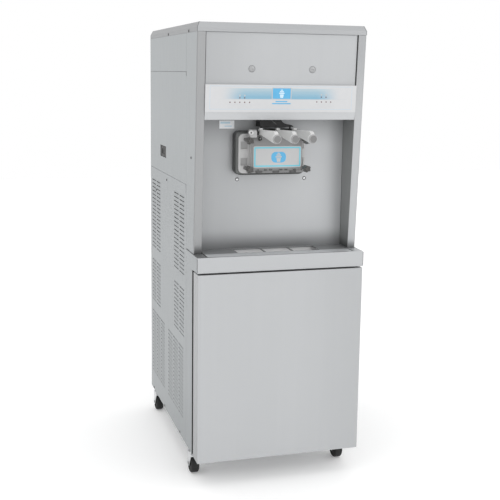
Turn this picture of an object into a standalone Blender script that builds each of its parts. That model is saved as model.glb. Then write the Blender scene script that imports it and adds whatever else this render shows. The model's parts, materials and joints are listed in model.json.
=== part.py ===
"""Floor-standing twin-flavour soft serve machine on four casters.

Metres, +Z up. The front is -Y and the origin lies on the floor under the middle of the machine.
Every sub-part is one named object in the collection "soft_serve_machine"; the shapes that
cut or join them are in the collection "cutters".
"""

import math

import bmesh
import bpy
from mathutils import Matrix, Vector

# ---------------------------------------------------------------- driving dimensions
HALF_WIDTH = 0.3225  # half of the cabinet's width
REAR_Y = 0.528  # the cabinet's back
HEIGHT = 1.731
CABINET_BOTTOM_Z = 0.100  # casters fill the space below
GAP = 0.0003  # between pieces that rest on each other
SHEET = 0.0020  # sheet metal of covers and panels

SEAM_Y = -0.210  # vertical joint between corner post and side panels
POST_TOP_Y = -0.3795  # front edge of the corner post under the top cover
POST_COUNTER_Y = -0.3295  # the same edge at the counter: the front leans back going down
POST_LOW_Y = -0.313  # front edge of the corner post below the counter
POST_INNER_X = 0.291

COVER_FLANGE_Z = 1.697  # lower edge of the top cover
COVER_BREAK_Z = 1.712  # where its sloping upper band begins
COVER_SLOPE_IN = 0.009
SIDE_JOINT_Z = 1.133  # joint of upper and lower side panels
SIDE_SEAM_Z = 1.556  # pressed seam in the upper side panel

CONSOLE_TOP_Z = 1.5122
OVERLAY_BOTTOM_Z = 1.4135
LIP_Z = 1.385  # lower edge of the control console
OVERLAY_THICK = 0.0012
SPLASH_Y = -0.250  # front face of the panel behind the serving space
COUNTER_TOP_Z = 0.889
COUNTER_BOTTOM_Z = 0.8290
COUNTER_FRONT_Y = -0.408
COUNTER_HALF_X = 0.3263
LOWER_PANEL_TOP_Z = 0.8240
LOWER_PANEL_Y = -0.410
LOWER_PANEL_SEAM = 0.018  # open joint between the panel's returns and the posts

FLAVOUR_X = 0.067  # sideways place of each freezing cylinder and of the outer draw valves
VALVE_Y = -0.305
PIVOT_Y = -0.3245
PIVOT_Z = 1.337
DOOR_FLANGE_Y = -0.2985  # front face of the door's flange
DOOR_FACE_Y = -0.328  # front face of the door's block
PLUG_X = (-0.1325, 0.1120)  # the door's plug; the door reaches further on the left than on the right
PLUG_Z = (1.1885, 1.3195)
PLUG_PLAY = 0.0010  # between the plug and the openings round it
CYLINDER_Z = 1.250
CYLINDER_REAR_Y = 0.200
HANDLE_FRONT_Y = -0.528

WHEEL_RADIUS = 0.0375
WHEEL_SIDES = 24
CASTER_TRAIL = 0.022

SIDES = {"left": -1, "right": 1}
FLAVOURS = {"left": -1, "centre": 0, "right": 1}

# ---------------------------------------------------------------- scene and helpers
for old in list(bpy.data.objects):
    bpy.data.objects.remove(old, do_unlink=True)

PARTS = bpy.data.collections.new("soft_serve_machine")
CUTTERS = bpy.data.collections.new("cutters")
bpy.context.scene.collection.children.link(PARTS)
bpy.context.scene.collection.children.link(CUTTERS)


def material(name, colour, roughness, metallic=0.0):
    """A Principled BSDF of one colour."""
    made = bpy.data.materials.new(name)
    made.use_nodes = True
    shader = made.node_tree.nodes["Principled BSDF"]
    shader.inputs["Base Color"].default_value = (*colour, 1.0)
    shader.inputs["Roughness"].default_value = roughness
    shader.inputs["Metallic"].default_value = metallic
    return made


FINISHES = {
    "stainless": ((0.60, 0.61, 0.62), 0.38, 1.0),
    "stainless_inner": ((0.50, 0.51, 0.52), 0.45, 1.0),
    "frame_steel": ((0.32, 0.33, 0.34), 0.55, 0.8),
    "white_overlay": ((0.80, 0.81, 0.82), 0.35, 0.0),
    "door_plastic": ((0.56, 0.56, 0.56), 0.42, 0.0),
    "handle_plastic": ((0.60, 0.60, 0.60), 0.40, 0.0),
    "black_plastic": ((0.02, 0.02, 0.02), 0.45, 0.0),
    "dark_grey_plastic": ((0.08, 0.08, 0.08), 0.50, 0.0),
    "screw_knob": ((0.13, 0.12, 0.11), 0.45, 0.0),
    "white_nylon": ((0.75, 0.75, 0.73), 0.40, 0.0),
    "insulation": ((0.10, 0.10, 0.11), 0.90, 0.0),
    "motor_paint": ((0.05, 0.06, 0.07), 0.50, 0.2),
    "copper_fin": ((0.55, 0.45, 0.36), 0.50, 0.9),
    "tread_rubber": ((0.03, 0.03, 0.03), 0.70, 0.0),
}


def put(name, mesh, origin, finish):
    """Link a mesh whose points are relative to origin: as a part, or as a cutter when it has no finish."""
    obj = bpy.data.objects.new(name, mesh)
    obj.location = origin
    if finish is None:
        CUTTERS.objects.link(obj)
        obj.hide_render = True
        obj.display_type = "WIRE"
    else:
        PARTS.objects.link(obj)
        mesh.materials.append(material(name, *FINISHES[finish]))
    return obj


def mesh_from(name, bm, smooth=False):
    mesh = bpy.data.meshes.new(name)
    bm.to_mesh(mesh)
    bm.free()
    if smooth:
        mesh.shade_smooth()
        mesh.set_sharp_from_angle(angle=math.radians(35))
    return mesh


def middle(low, high):
    return (Vector(low) + Vector(high)) / 2


def add_cube(bm, low, high, origin):
    """One box in a bmesh, its points relative to origin."""
    size = Vector(high) - Vector(low)
    place = Matrix.Translation(middle(low, high) - Vector(origin)) @ Matrix.Diagonal((*size, 1.0))
    bmesh.ops.create_cube(bm, size=1.0, matrix=place)


def box(name, low, high, finish=None, origin=None):
    origin = Vector(origin) if origin is not None else middle(low, high)
    bm = bmesh.new()
    add_cube(bm, low, high, origin)
    return put(name, mesh_from(name, bm), origin, finish)


def box_group(name, spans):
    """One cutter of several separate boxes."""
    bm = bmesh.new()
    for low, high in spans:
        add_cube(bm, low, high, (0, 0, 0))
    return put(name, mesh_from(name, bm), (0, 0, 0), None)


AXIS_TURN = {
    "X": Matrix.Rotation(math.pi / 2, 4, "Y"),
    "Y": Matrix.Rotation(-math.pi / 2, 4, "X"),
    "Z": Matrix.Identity(4),
}


def rods(name, axis, radius, ends, sides=16, finish=None, origin=(0, 0, 0), turn=0.0):
    """Cylinders of one radius along an axis. Each of ends is (start point, length)."""
    bm = bmesh.new()
    for start, length in ends:
        place = Matrix.Translation(Vector(start) - Vector(origin)) @ AXIS_TURN[axis]
        place = place @ Matrix.Translation((0, 0, length / 2)) @ Matrix.Rotation(turn, 4, "Z")
        bmesh.ops.create_cone(
            bm, cap_ends=True, segments=sides, radius1=radius, radius2=radius, depth=length, matrix=place
        )
    return put(name, mesh_from(name, bm, smooth=True), origin, finish)


def prism(name, axis, outline, start, end, finish=None, origin=(0, 0, 0)):
    """A flat outline drawn across an axis and extruded from start to end along it.

    The outline's points are (y, z) across X, (x, z) across Y and (x, y) across Z.
    """
    curve = bpy.data.curves.new(name + "_outline", "CURVE")
    curve.dimensions = "2D"
    curve.fill_mode = "BOTH"
    curve.extrude = (end - start) / 2
    spline = curve.splines.new("POLY")
    spline.points.add(len(outline) - 1)
    for point, (a, b) in zip(spline.points, outline):
        point.co = (a, b, 0.0, 1.0)
    spline.use_cyclic_u = True
    drawn = bpy.data.objects.new(name + "_outline", curve)
    bpy.context.scene.collection.objects.link(drawn)
    mesh = bpy.data.meshes.new_from_object(drawn.evaluated_get(bpy.context.evaluated_depsgraph_get()))
    bpy.data.objects.remove(drawn, do_unlink=True)
    across = {
        "X": Matrix(((0, 0, 1, 0), (1, 0, 0, 0), (0, 1, 0, 0), (0, 0, 0, 1))),
        "Y": Matrix(((1, 0, 0, 0), (0, 0, -1, 0), (0, 1, 0, 0), (0, 0, 0, 1))),
        "Z": Matrix.Identity(4),
    }[axis]
    step = {"X": (1, 0, 0), "Y": (0, 1, 0), "Z": (0, 0, 1)}[axis]
    bm = bmesh.new()
    bm.from_mesh(mesh)
    bmesh.ops.remove_doubles(bm, verts=bm.verts, dist=1e-6)
    shift = Matrix.Translation(Vector(step) * (start + end) / 2 - Vector(origin))
    bmesh.ops.transform(bm, matrix=shift @ across, verts=bm.verts)
    bmesh.ops.recalc_face_normals(bm, faces=bm.faces)
    return put(name, mesh_from(name, bm), origin, finish)


def rounded_outline(low, high, radius, steps=4):
    """A rectangle from low to high whose corners are arcs, anticlockwise."""
    points = []
    for corner, (sx, sy) in enumerate(((1, -1), (1, 1), (-1, 1), (-1, -1))):
        cx = (high[0] if sx > 0 else low[0]) - sx * radius
        cy = (high[1] if sy > 0 else low[1]) - sy * radius
        for i in range(steps + 1):
            angle = math.pi / 2 * (corner - 1 + i / steps)
            points.append((cx + radius * math.cos(angle), cy + radius * math.sin(angle)))
    return points


def turned(name, axis, profile, finish=None, origin=(0, 0, 0), steps=20, turn=0.0, closed=False):
    """A shape turned about an axis through origin.

    The profile is (radius, place along the axis) from the far end to the near end on its outer
    side; a closed profile is a ring's section.
    """
    mesh = bpy.data.meshes.new(name)
    links = [(i, i + 1) for i in range(len(profile) - 1)]
    if closed:
        links.append((len(profile) - 1, 0))
    mesh.from_pydata([(r, 0.0, t) for r, t in profile], links, [])
    obj = put(name, mesh, origin, finish)
    screw = obj.modifiers.new("turn", "SCREW")
    screw.axis = "Z"
    screw.steps = steps
    screw.render_steps = steps
    screw.use_merge_vertices = True
    screw.merge_threshold = 1e-5
    screw.use_smooth_shade = False
    obj.rotation_euler = (AXIS_TURN[axis] @ Matrix.Rotation(turn, 4, "Z")).to_euler()
    return obj


def boolean(obj, operation, others):
    for other in others:
        change = obj.modifiers.new(operation.lower(), "BOOLEAN")
        change.operation = operation
        change.solver = "EXACT"
        change.object = other
    return obj


def join(obj, *others):
    return boolean(obj, "UNION", others)


def cut(obj, *others):
    return boolean(obj, "DIFFERENCE", others)


def front_y(z):
    """Front edge of the leaning corner posts at a height."""
    share = (COVER_FLANGE_Z - z) / (COVER_FLANGE_Z - COUNTER_TOP_Z)
    return POST_TOP_Y + share * (POST_COUNTER_Y - POST_TOP_Y)


def mirrored(side, low, high):
    """A box given for the right side, or its mirror image for the left."""
    if side > 0:
        return low, high
    return (-high[0], *low[1:]), (-low[0], *high[1:])


# ---------------------------------------------------------------- frame and casing
FRAME_HALF_X = POST_INNER_X - 0.0005
TUBE = 0.030
FRAME_FRONT_Y = -0.312
FRAME_REAR_Y = 0.515
BASE_HEIGHT = 0.040
TRAY_FLOOR_Z = 0.106  # floor of the base tray, on which compressor and condenser stand
RING_Z = (0.110, 1.690)
RAIL_Z = {"counter": 0.785, "top": 1.655}
DECK_Z = (1.178, 1.184)
DRIP_PAN_Y = (0.1815, 0.3005)
DRIP_PAN_Z = (1.2005, 1.2460)
GUIDE_WIDTH = 0.010


def make_chassis():
    """Welded frame: base tray, rear ring, rails at the counter and at the top, and the upper deck."""
    inner_x = FRAME_HALF_X - TUBE
    ring_y = FRAME_REAR_Y - TUBE
    base = box(
        "chassis",
        (-FRAME_HALF_X, FRAME_FRONT_Y, CABINET_BOTTOM_Z + GAP),
        (FRAME_HALF_X, FRAME_REAR_Y, CABINET_BOTTOM_Z + BASE_HEIGHT),
        "frame_steel",
    )
    pocket = box(
        "chassis_base_pocket",
        (-inner_x, FRAME_FRONT_Y + TUBE, TRAY_FLOOR_Z),
        (inner_x, ring_y, CABINET_BOTTOM_Z + 2 * BASE_HEIGHT),
    )
    ring = box(
        "chassis_rear_ring", (-FRAME_HALF_X, ring_y, RING_Z[0]), (FRAME_HALF_X, FRAME_REAR_Y, RING_Z[1])
    )
    window = box(
        "chassis_ring_window",
        (-inner_x, ring_y - 0.01, RING_Z[0] + TUBE),
        (inner_x, FRAME_REAR_Y + 0.01, RING_Z[1] - TUBE),
    )
    cut(ring, window)
    rails = [
        box(
            f"chassis_rail_{level}_{name}",
            *mirrored(side, (inner_x, FRAME_FRONT_Y + 0.012, z), (FRAME_HALF_X, ring_y + 0.015, z + TUBE)),
        )
        for level, z in RAIL_Z.items()
        for name, side in SIDES.items()
    ]
    deck_low = (-FRAME_HALF_X, SPLASH_Y + 0.015, DECK_Z[0])
    deck = box("chassis_deck", deck_low, (FRAME_HALF_X, ring_y + 0.015, DECK_Z[1]))
    guides = [
        box(
            f"chassis_pan_guide_{i}",
            (-FRAME_HALF_X + 0.0055, y, DECK_Z[1] - 0.001),
            (-0.140, y + GUIDE_WIDTH, DRIP_PAN_Z[0] - 0.0005),
        )
        for i, y in enumerate((DRIP_PAN_Y[0] + 0.008, DRIP_PAN_Y[1] - 0.008 - GUIDE_WIDTH))
    ]
    cut(base, pocket)
    join(base, ring, *rails, deck, *guides)


def make_corner_post(name, side):
    """Folded stainless post, hollow: leaning above the counter and upright below it."""
    wall, back_wall, end_wall = 0.003, 0.010, 0.015
    top_z, low_z = COVER_FLANGE_Z - end_wall - SHEET, CABINET_BOTTOM_Z + end_wall
    outline = [
        (POST_TOP_Y, COVER_FLANGE_Z - GAP),
        (SEAM_Y - GAP, COVER_FLANGE_Z - GAP),
        (SEAM_Y - GAP, CABINET_BOTTOM_Z),
        (POST_LOW_Y, CABINET_BOTTOM_Z),
        (POST_LOW_Y, COUNTER_BOTTOM_Z),
        (POST_COUNTER_Y, COUNTER_TOP_Z),
    ]
    hollow = [
        (front_y(top_z) + wall, top_z),
        (SEAM_Y + back_wall, top_z),
        (SEAM_Y + back_wall, low_z),
        (POST_LOW_Y + wall, low_z),
        (POST_LOW_Y + wall, COUNTER_BOTTOM_Z),
        (POST_COUNTER_Y + wall, COUNTER_TOP_Z),
    ]
    outer, inner = sorted((side * HALF_WIDTH, side * POST_INNER_X))
    post = prism(f"corner_post_{name}", "X", outline, outer, inner, "stainless")
    cut(post, prism(f"corner_post_{name}_hollow", "X", hollow, outer + SHEET, inner - SHEET))


def make_side_panels(name, side):
    """Upper and lower side panels; the upper left one has the drip pan's opening."""
    inner_x = HALF_WIDTH - SHEET
    upper = box(
        f"side_panel_upper_{name}",
        *mirrored(
            side,
            (inner_x, SEAM_Y, SIDE_JOINT_Z + 0.0008),
            (HALF_WIDTH, REAR_Y - SHEET - GAP, COVER_FLANGE_Z - GAP),
        ),
        "stainless",
    )
    seam = box(
        f"side_panel_upper_{name}_seam",
        *mirrored(
            side,
            (HALF_WIDTH - 0.0008, SEAM_Y - 0.01, SIDE_SEAM_Z - 0.0006),
            (HALF_WIDTH + 0.01, REAR_Y, SIDE_SEAM_Z + 0.0006),
        ),
    )
    cut(upper, seam)
    if name == "left":
        low = (-HALF_WIDTH - 0.01, DRIP_PAN_Y[0] - 0.001, DRIP_PAN_Z[0] - 0.001)
        high = (-inner_x + 0.01, DRIP_PAN_Y[1] + 0.001, DRIP_PAN_Z[1] + 0.001)
        cut(upper, box("drip_pan_opening", low, high))
    box(
        f"side_panel_lower_{name}",
        *mirrored(
            side,
            (inner_x, SEAM_Y, CABINET_BOTTOM_Z),
            (HALF_WIDTH, REAR_Y - SHEET - GAP, SIDE_JOINT_Z),
        ),
        "stainless",
    )


def make_rear_panel():
    box(
        "rear_panel",
        (-HALF_WIDTH, REAR_Y - SHEET, CABINET_BOTTOM_Z),
        (HALF_WIDTH, REAR_Y, COVER_FLANGE_Z - GAP),
        "stainless",
    )


HOPPER_X = (0.018, 0.252)
HOPPER_Y = (-0.196, 0.216)
HOPPER_FLOOR_Z = 1.420
HOPPER_TOP_Z = 1.709
FEED_Y = -0.130
TUBE_RADIUS = 0.012
TUBE_TOP_Z = 1.580
MOUTH_PLAY = 0.004


def make_top_cover():
    """Cover with a sloping upper band and two openings over the hoppers."""
    low = Vector((-HALF_WIDTH, POST_TOP_Y, COVER_FLANGE_Z))
    high = Vector((HALF_WIDTH, REAR_Y, COVER_BREAK_Z))
    origin = middle(low, high)
    bm = bmesh.new()
    add_cube(bm, low, high, origin)
    bm.faces.ensure_lookup_table()
    top = max(bm.faces, key=lambda face: face.calc_center_median().z)
    raised = bmesh.ops.extrude_face_region(bm, geom=[top])["geom"]
    bmesh.ops.delete(bm, geom=[top], context="FACES_ONLY")
    corners = [item for item in raised if isinstance(item, bmesh.types.BMVert)]
    for corner in corners:
        corner.co.x -= math.copysign(COVER_SLOPE_IN, corner.co.x)
        corner.co.y -= math.copysign(COVER_SLOPE_IN, corner.co.y)
        corner.co.z += HEIGHT - COVER_BREAK_Z
    bmesh.ops.recalc_face_normals(bm, faces=bm.faces)
    cover = put("top_cover", mesh_from("top_cover", bm), origin, "stainless")
    rim = COVER_SLOPE_IN + SHEET
    inside = box(
        "top_cover_inside",
        (-HALF_WIDTH + rim, POST_TOP_Y + rim, COVER_FLANGE_Z - 0.01),
        (HALF_WIDTH - rim, REAR_Y - rim, HEIGHT - SHEET),
    )
    mouths = box_group(
        "hopper_mouths",
        [
            mirrored(
                side,
                (HOPPER_X[0] - MOUTH_PLAY, HOPPER_Y[0] - MOUTH_PLAY, COVER_BREAK_Z),
                (HOPPER_X[1] + MOUTH_PLAY, HOPPER_Y[1] + MOUTH_PLAY, HEIGHT + 0.01),
            )
            for side in SIDES.values()
        ],
    )
    cut(cover, inside, mouths)


def make_hopper(name, side):
    """Open mix tank with a hole in its floor for the feed tube."""
    wall, floor = 0.0015, 0.0025
    low = (HOPPER_X[0], HOPPER_Y[0], HOPPER_FLOOR_Z)
    high = (HOPPER_X[1], HOPPER_Y[1], HOPPER_TOP_Z)
    tank = box(f"hopper_{name}", *mirrored(side, low, high), "stainless_inner")
    inside = box(
        f"hopper_{name}_inside",
        *mirrored(
            side,
            (low[0] + wall, low[1] + wall, low[2] + floor),
            (high[0] - wall, high[1] - wall, high[2] + 0.01),
        ),
    )
    start = (side * FLAVOUR_X, FEED_Y, HOPPER_FLOOR_Z - 0.02)
    hole = rods(f"hopper_{name}_hole", "Z", TUBE_RADIUS + 0.0006, [(start, 0.04)], 16)
    cut(tank, inside, hole)


def make_feed_tube(name, side):
    """Tube that stands on the freezing cylinder and seals on the hopper's floor with a flange."""
    base_z = CYLINDER_Z + BARREL_RADIUS + GAP
    flange_z = HOPPER_FLOOR_Z + 0.0028
    bore, upper_radius, flange_radius, flange_height = 0.006, 0.010, 0.017, 0.006
    section = [
        (upper_radius, TUBE_TOP_Z),
        (upper_radius, flange_z + flange_height),
        (flange_radius, flange_z + flange_height),
        (flange_radius, flange_z),
        (TUBE_RADIUS, flange_z),
        (TUBE_RADIUS, base_z),
        (bore, base_z),
        (bore, TUBE_TOP_Z),
    ]
    profile = [(r, z - base_z) for r, z in section]
    origin = (side * FLAVOUR_X, FEED_Y, base_z)
    turned(f"feed_tube_{name}", "Z", profile, "white_nylon", origin, 14, closed=True)


def make_hopper_cover(name, side):
    """Lift-off lid with a plug that drops into the hopper and two finger slots."""
    top = HEIGHT - 0.0005
    edge, plate, skirt_z = 0.002, 0.007, 1.700
    low = (HOPPER_X[0] - edge, HOPPER_Y[0] - edge, top - plate)
    high = (HOPPER_X[1] + edge, HOPPER_Y[1] + edge, top)
    lid = box(f"hopper_cover_{name}", *mirrored(side, low, high), "white_nylon")

    def inset(part, by, z0, z1):
        start = (HOPPER_X[0] + by, HOPPER_Y[0] + by, z0)
        end = (HOPPER_X[1] - by, HOPPER_Y[1] - by, z1)
        return box(f"hopper_cover_{name}_{part}", *mirrored(side, start, end))

    plug = inset("plug", 0.003, skirt_z, top - 0.003)
    under = inset("underside", 0.008, skirt_z - 0.010, skirt_z + 0.010)
    grip_x, grip_half_x, grip_y, grip_z = sum(HOPPER_X) / 2, 0.045, 0.030, 1.7145
    grips = box_group(
        f"hopper_cover_{name}_grips",
        [
            mirrored(
                side, (grip_x - grip_half_x, y, grip_z), (grip_x + grip_half_x, y + grip_y, HEIGHT + 0.01)
            )
            for y in (-0.028, 0.018)
        ],
    )
    join(lid, plug)
    cut(lid, under, grips)


def make_upper_front_panel():
    """Leaning pan between the posts, over the console."""
    top, bottom, depth = COVER_FLANGE_Z - 0.0015, CONSOLE_TOP_Z + 0.0008, 0.024
    set_back = 0.006
    half_x = POST_INNER_X - 0.0045
    face = [(front_y(top) + set_back, top), (front_y(bottom) + set_back, bottom)]
    outline = face + [(y + depth, z) for y, z in reversed(face)]
    panel = prism("upper_front_panel", "X", outline, -half_x, half_x, "stainless")
    inner = [(front_y(z) + set_back + SHEET, z) for z in (top - SHEET, bottom + SHEET)]
    inner += [(y + depth + 0.01, z) for y, z in reversed(inner)]
    cut(panel, prism("upper_front_panel_inside", "X", inner, -half_x + SHEET, half_x - SHEET))


def make_console():
    """Control console: a channel with a steel lip, its printed overlay and the rocker beneath it."""
    half_x = POST_INNER_X - 0.0005
    proud = 0.004
    face_top = front_y(CONSOLE_TOP_Z) - proud
    face_low = front_y(OVERLAY_BOTTOM_Z) - proud
    lip_y = front_y(LIP_Z)
    outline = [
        (face_top, CONSOLE_TOP_Z),
        (face_low, OVERLAY_BOTTOM_Z),
        (lip_y, LIP_Z),
        (SPLASH_Y - 0.0015, LIP_Z),
        (SPLASH_Y - 0.0015, CONSOLE_TOP_Z - 0.030),
        (face_top + 0.030, CONSOLE_TOP_Z),
    ]
    console = prism("control_console", "X", outline, -half_x, half_x, "stainless")
    hollow = [
        (face_top + SHEET + 0.0006, CONSOLE_TOP_Z - SHEET),
        (face_low + SHEET + 0.0002, OVERLAY_BOTTOM_Z),
        (lip_y + SHEET + 0.0006, LIP_Z + SHEET),
        (SPLASH_Y + 0.010, LIP_Z + SHEET),
        (SPLASH_Y + 0.010, CONSOLE_TOP_Z - SHEET),
    ]
    inside = prism("control_console_inside", "X", hollow, -half_x + SHEET, half_x - SHEET)
    half = Vector((0.0115, 0.0065, 0))  # half length and width of the rocker
    centre = Vector((-0.215, -0.300, LIP_Z))
    room = half + Vector((0.0015, 0.0020, 0.010))
    slot = box("rocker_slot", centre - room, centre + room)
    cut(console, inside, slot)
    overlay = [(y - GAP, z) for y, z in outline[:2]]
    overlay += [(y - OVERLAY_THICK, z) for y, z in reversed(overlay)]
    prism("control_overlay", "X", overlay, -half_x, half_x, "white_overlay")
    low = centre - half - Vector((0, 0, 0.0035))
    high = centre + half + Vector((0, 0, 0.0060))
    rocker = box("power_rocker", low, high, "black_plastic", centre + Vector((0, 0, 0.0015)))
    crown = rocker.modifiers.new("edges", "BEVEL")
    crown.width = 0.0015
    crown.segments = 1


def make_lower_front_panel():
    low = (-HALF_WIDTH, LOWER_PANEL_Y, CABINET_BOTTOM_Z)
    high = (HALF_WIDTH, POST_LOW_Y - LOWER_PANEL_SEAM, LOWER_PANEL_TOP_Z)
    panel = box("lower_front_panel", low, high, "stainless")
    inside = box(
        "lower_front_panel_inside",
        (low[0] + SHEET, low[1] + SHEET, low[2] + SHEET),
        (high[0] - SHEET, high[1] + 0.02, high[2] - SHEET),
    )
    cut(panel, inside)


# ---------------------------------------------------------------- serving space
TRAY_HALF_X = 0.2835
TRAY_PLAY_X = 0.0040  # slot left at each end of the tray
WINDOW_HALF_X = 0.0525
WINDOW_STEP = 0.110
WINDOW_MIDDLE_X = 0.010
WINDOW_Y = (-0.343, -0.260)


def make_splash_panel():
    half_x = POST_INNER_X - 0.0005
    panel = box(
        "splash_panel",
        (-half_x, SPLASH_Y, COUNTER_BOTTOM_Z + 0.0005),
        (half_x, SPLASH_Y + SHEET, LIP_Z - 0.001),
        "stainless",
    )
    opening = box(
        "splash_panel_opening",
        (PLUG_X[0] - PLUG_PLAY, SPLASH_Y - 0.02, PLUG_Z[0] - PLUG_PLAY),
        (PLUG_X[1] + PLUG_PLAY, SPLASH_Y + 0.02, PLUG_Z[1] + PLUG_PLAY),
    )
    cut(panel, opening)


def make_counter():
    """Counter tub that holds the drip tray, wrapped round the feet of the posts."""
    front = (-COUNTER_HALF_X, COUNTER_FRONT_Y, COUNTER_BOTTOM_Z)
    shelf = box("counter_shelf", front, (COUNTER_HALF_X, POST_COUNTER_Y - 0.003, COUNTER_TOP_Z), "stainless")
    edges = shelf.modifiers.new("rolled_edges", "BEVEL")
    edges.width = 0.004
    edges.segments = 2
    rear_y = SPLASH_Y - 0.0015
    back = box(
        "counter_back",
        (-POST_INNER_X + 0.0005, POST_COUNTER_Y - 0.010, COUNTER_BOTTOM_Z + 0.0005),
        (POST_INNER_X - 0.0005, rear_y, COUNTER_TOP_Z - 0.0005),
    )
    join(shelf, back)
    wing = [
        (POST_COUNTER_Y - 0.015, COUNTER_BOTTOM_Z + 0.0006),
        (-0.2586, COUNTER_BOTTOM_Z + 0.0006),
        (SEAM_Y - 0.003, COUNTER_TOP_Z - 0.0006),
        (POST_COUNTER_Y - 0.015, COUNTER_TOP_Z - 0.0006),
    ]
    for name, side in SIDES.items():
        ends = sorted((side * (HALF_WIDTH + 0.0005), side * (COUNTER_HALF_X - 0.0003)))
        join(shelf, prism(f"counter_wing_{name}", "X", wing, *ends))
    well_x = TRAY_HALF_X + TRAY_PLAY_X
    cut(
        shelf,
        box(
            "counter_well",
            (-well_x, COUNTER_FRONT_Y + 0.010, COUNTER_BOTTOM_Z + 0.0045),
            (well_x, rear_y - 0.0013, COUNTER_TOP_Z + 0.02),
        ),
    )


def make_drip_tray():
    low = (-TRAY_HALF_X, COUNTER_FRONT_Y + 0.0112, COUNTER_BOTTOM_Z + 0.0050)
    high = (TRAY_HALF_X, SPLASH_Y - 0.0035, COUNTER_TOP_Z - 0.0047)
    wall = 0.0015
    tray = box("drip_tray", low, high, "stainless_inner")
    inside = box(
        "drip_tray_inside",
        (low[0] + wall, low[1] + wall, low[2] + wall),
        (high[0] - wall, high[1] - wall, high[2] + 0.01),
    )
    cut(tray, inside)
    shield = box(
        "splash_shield",
        (low[0], low[1], high[2] + GAP),
        (high[0], high[1], COUNTER_TOP_Z - 0.0005),
        "stainless",
    )
    windows = box_group(
        "splash_shield_windows",
        [
            (
                (x - WINDOW_HALF_X, WINDOW_Y[0], COUNTER_TOP_Z - 0.02),
                (x + WINDOW_HALF_X, WINDOW_Y[1], COUNTER_TOP_Z + 0.02),
            )
            for x in (WINDOW_MIDDLE_X - WINDOW_STEP, WINDOW_MIDDLE_X, WINDOW_MIDDLE_X + WINDOW_STEP)
        ],
    )
    cut(shield, windows)


def make_side_drip_pan():
    """Small pan under the gear units that draws out through the left side panel."""
    low = (-HALF_WIDTH + 0.0022, DRIP_PAN_Y[0], DRIP_PAN_Z[0])
    high = (-0.135, DRIP_PAN_Y[1], DRIP_PAN_Z[1])
    pan = box("side_drip_pan", low, high, "black_plastic")
    inside = box(
        "side_drip_pan_inside",
        (low[0] + 0.004, low[1] + 0.002, low[2] + 0.002),
        (high[0] - 0.002, high[1] - 0.002, high[2] + 0.01),
    )
    middle_y = sum(DRIP_PAN_Y) / 2
    finger = box(
        "side_drip_pan_finger",
        (low[0] - 0.01, middle_y - 0.030, low[2] + 0.012),
        (low[0] + 0.0025, middle_y + 0.030, low[2] + 0.032),
    )
    cut(pan, inside, finger)


# ---------------------------------------------------------------- freezer door and draw valves
HANDSCREW_X = {"left": -0.118, "right": 0.104}
HANDSCREW_Z = {"upper": 1.309, "lower": 1.203}
SCREW_RADIUS = 0.0040
BLOCK_X = (-0.1040, 0.0965)
BLOCK_Z = (1.1930, 1.3235)
SPOUT_RADIUS = 0.0110
SPOUT_Z = 1.1866
CAP_Z = (1.1850, 1.1925)
CAP_RADIUS = 0.0140
VALVE_RADIUS = 0.0080
VALVE_Z = (1.1900, 1.3385)
PIN_RADIUS = 0.0040
PIN_PLAY = 0.0003
END_LUGS_X = ((-0.1120, -0.0840), (0.0790, 0.0900))
MIDDLE_LUG_HALF = 0.0060
HUB_HALF = 0.0085
HUB_RADIUS = 0.0105


def make_door_shroud():
    """Moulded ring between the splash panel and the door's flange."""
    outer = rounded_outline((-0.1550, 1.1755), (0.1195, 1.3405), 0.022, 5)
    low = (PLUG_X[0] - PLUG_PLAY, PLUG_Z[0] - PLUG_PLAY)
    high = (PLUG_X[1] + PLUG_PLAY, PLUG_Z[1] + PLUG_PLAY)
    inner = rounded_outline(low, high, 0.012, 3)
    shroud = prism("door_shroud", "Y", outer, DOOR_FLANGE_Y + 0.0082, SPLASH_Y - GAP, "dark_grey_plastic")
    cut(shroud, prism("door_shroud_opening", "Y", inner, DOOR_FLANGE_Y - 0.02, SPLASH_Y + 0.02))


def lug_outline(radius):
    """Round-topped lug about the pivot, in (y, z), whose foot lies in the door's block."""
    foot_half, foot_z = 0.0110, BLOCK_Z[1] - 0.0045
    arc = [
        (PIVOT_Y + radius * math.cos(a), PIVOT_Z + radius * math.sin(a))
        for a in (math.pi * i / 6 for i in range(7))
    ]
    return arc + [(PIVOT_Y - foot_half, foot_z), (PIVOT_Y + foot_half, foot_z)]


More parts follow.
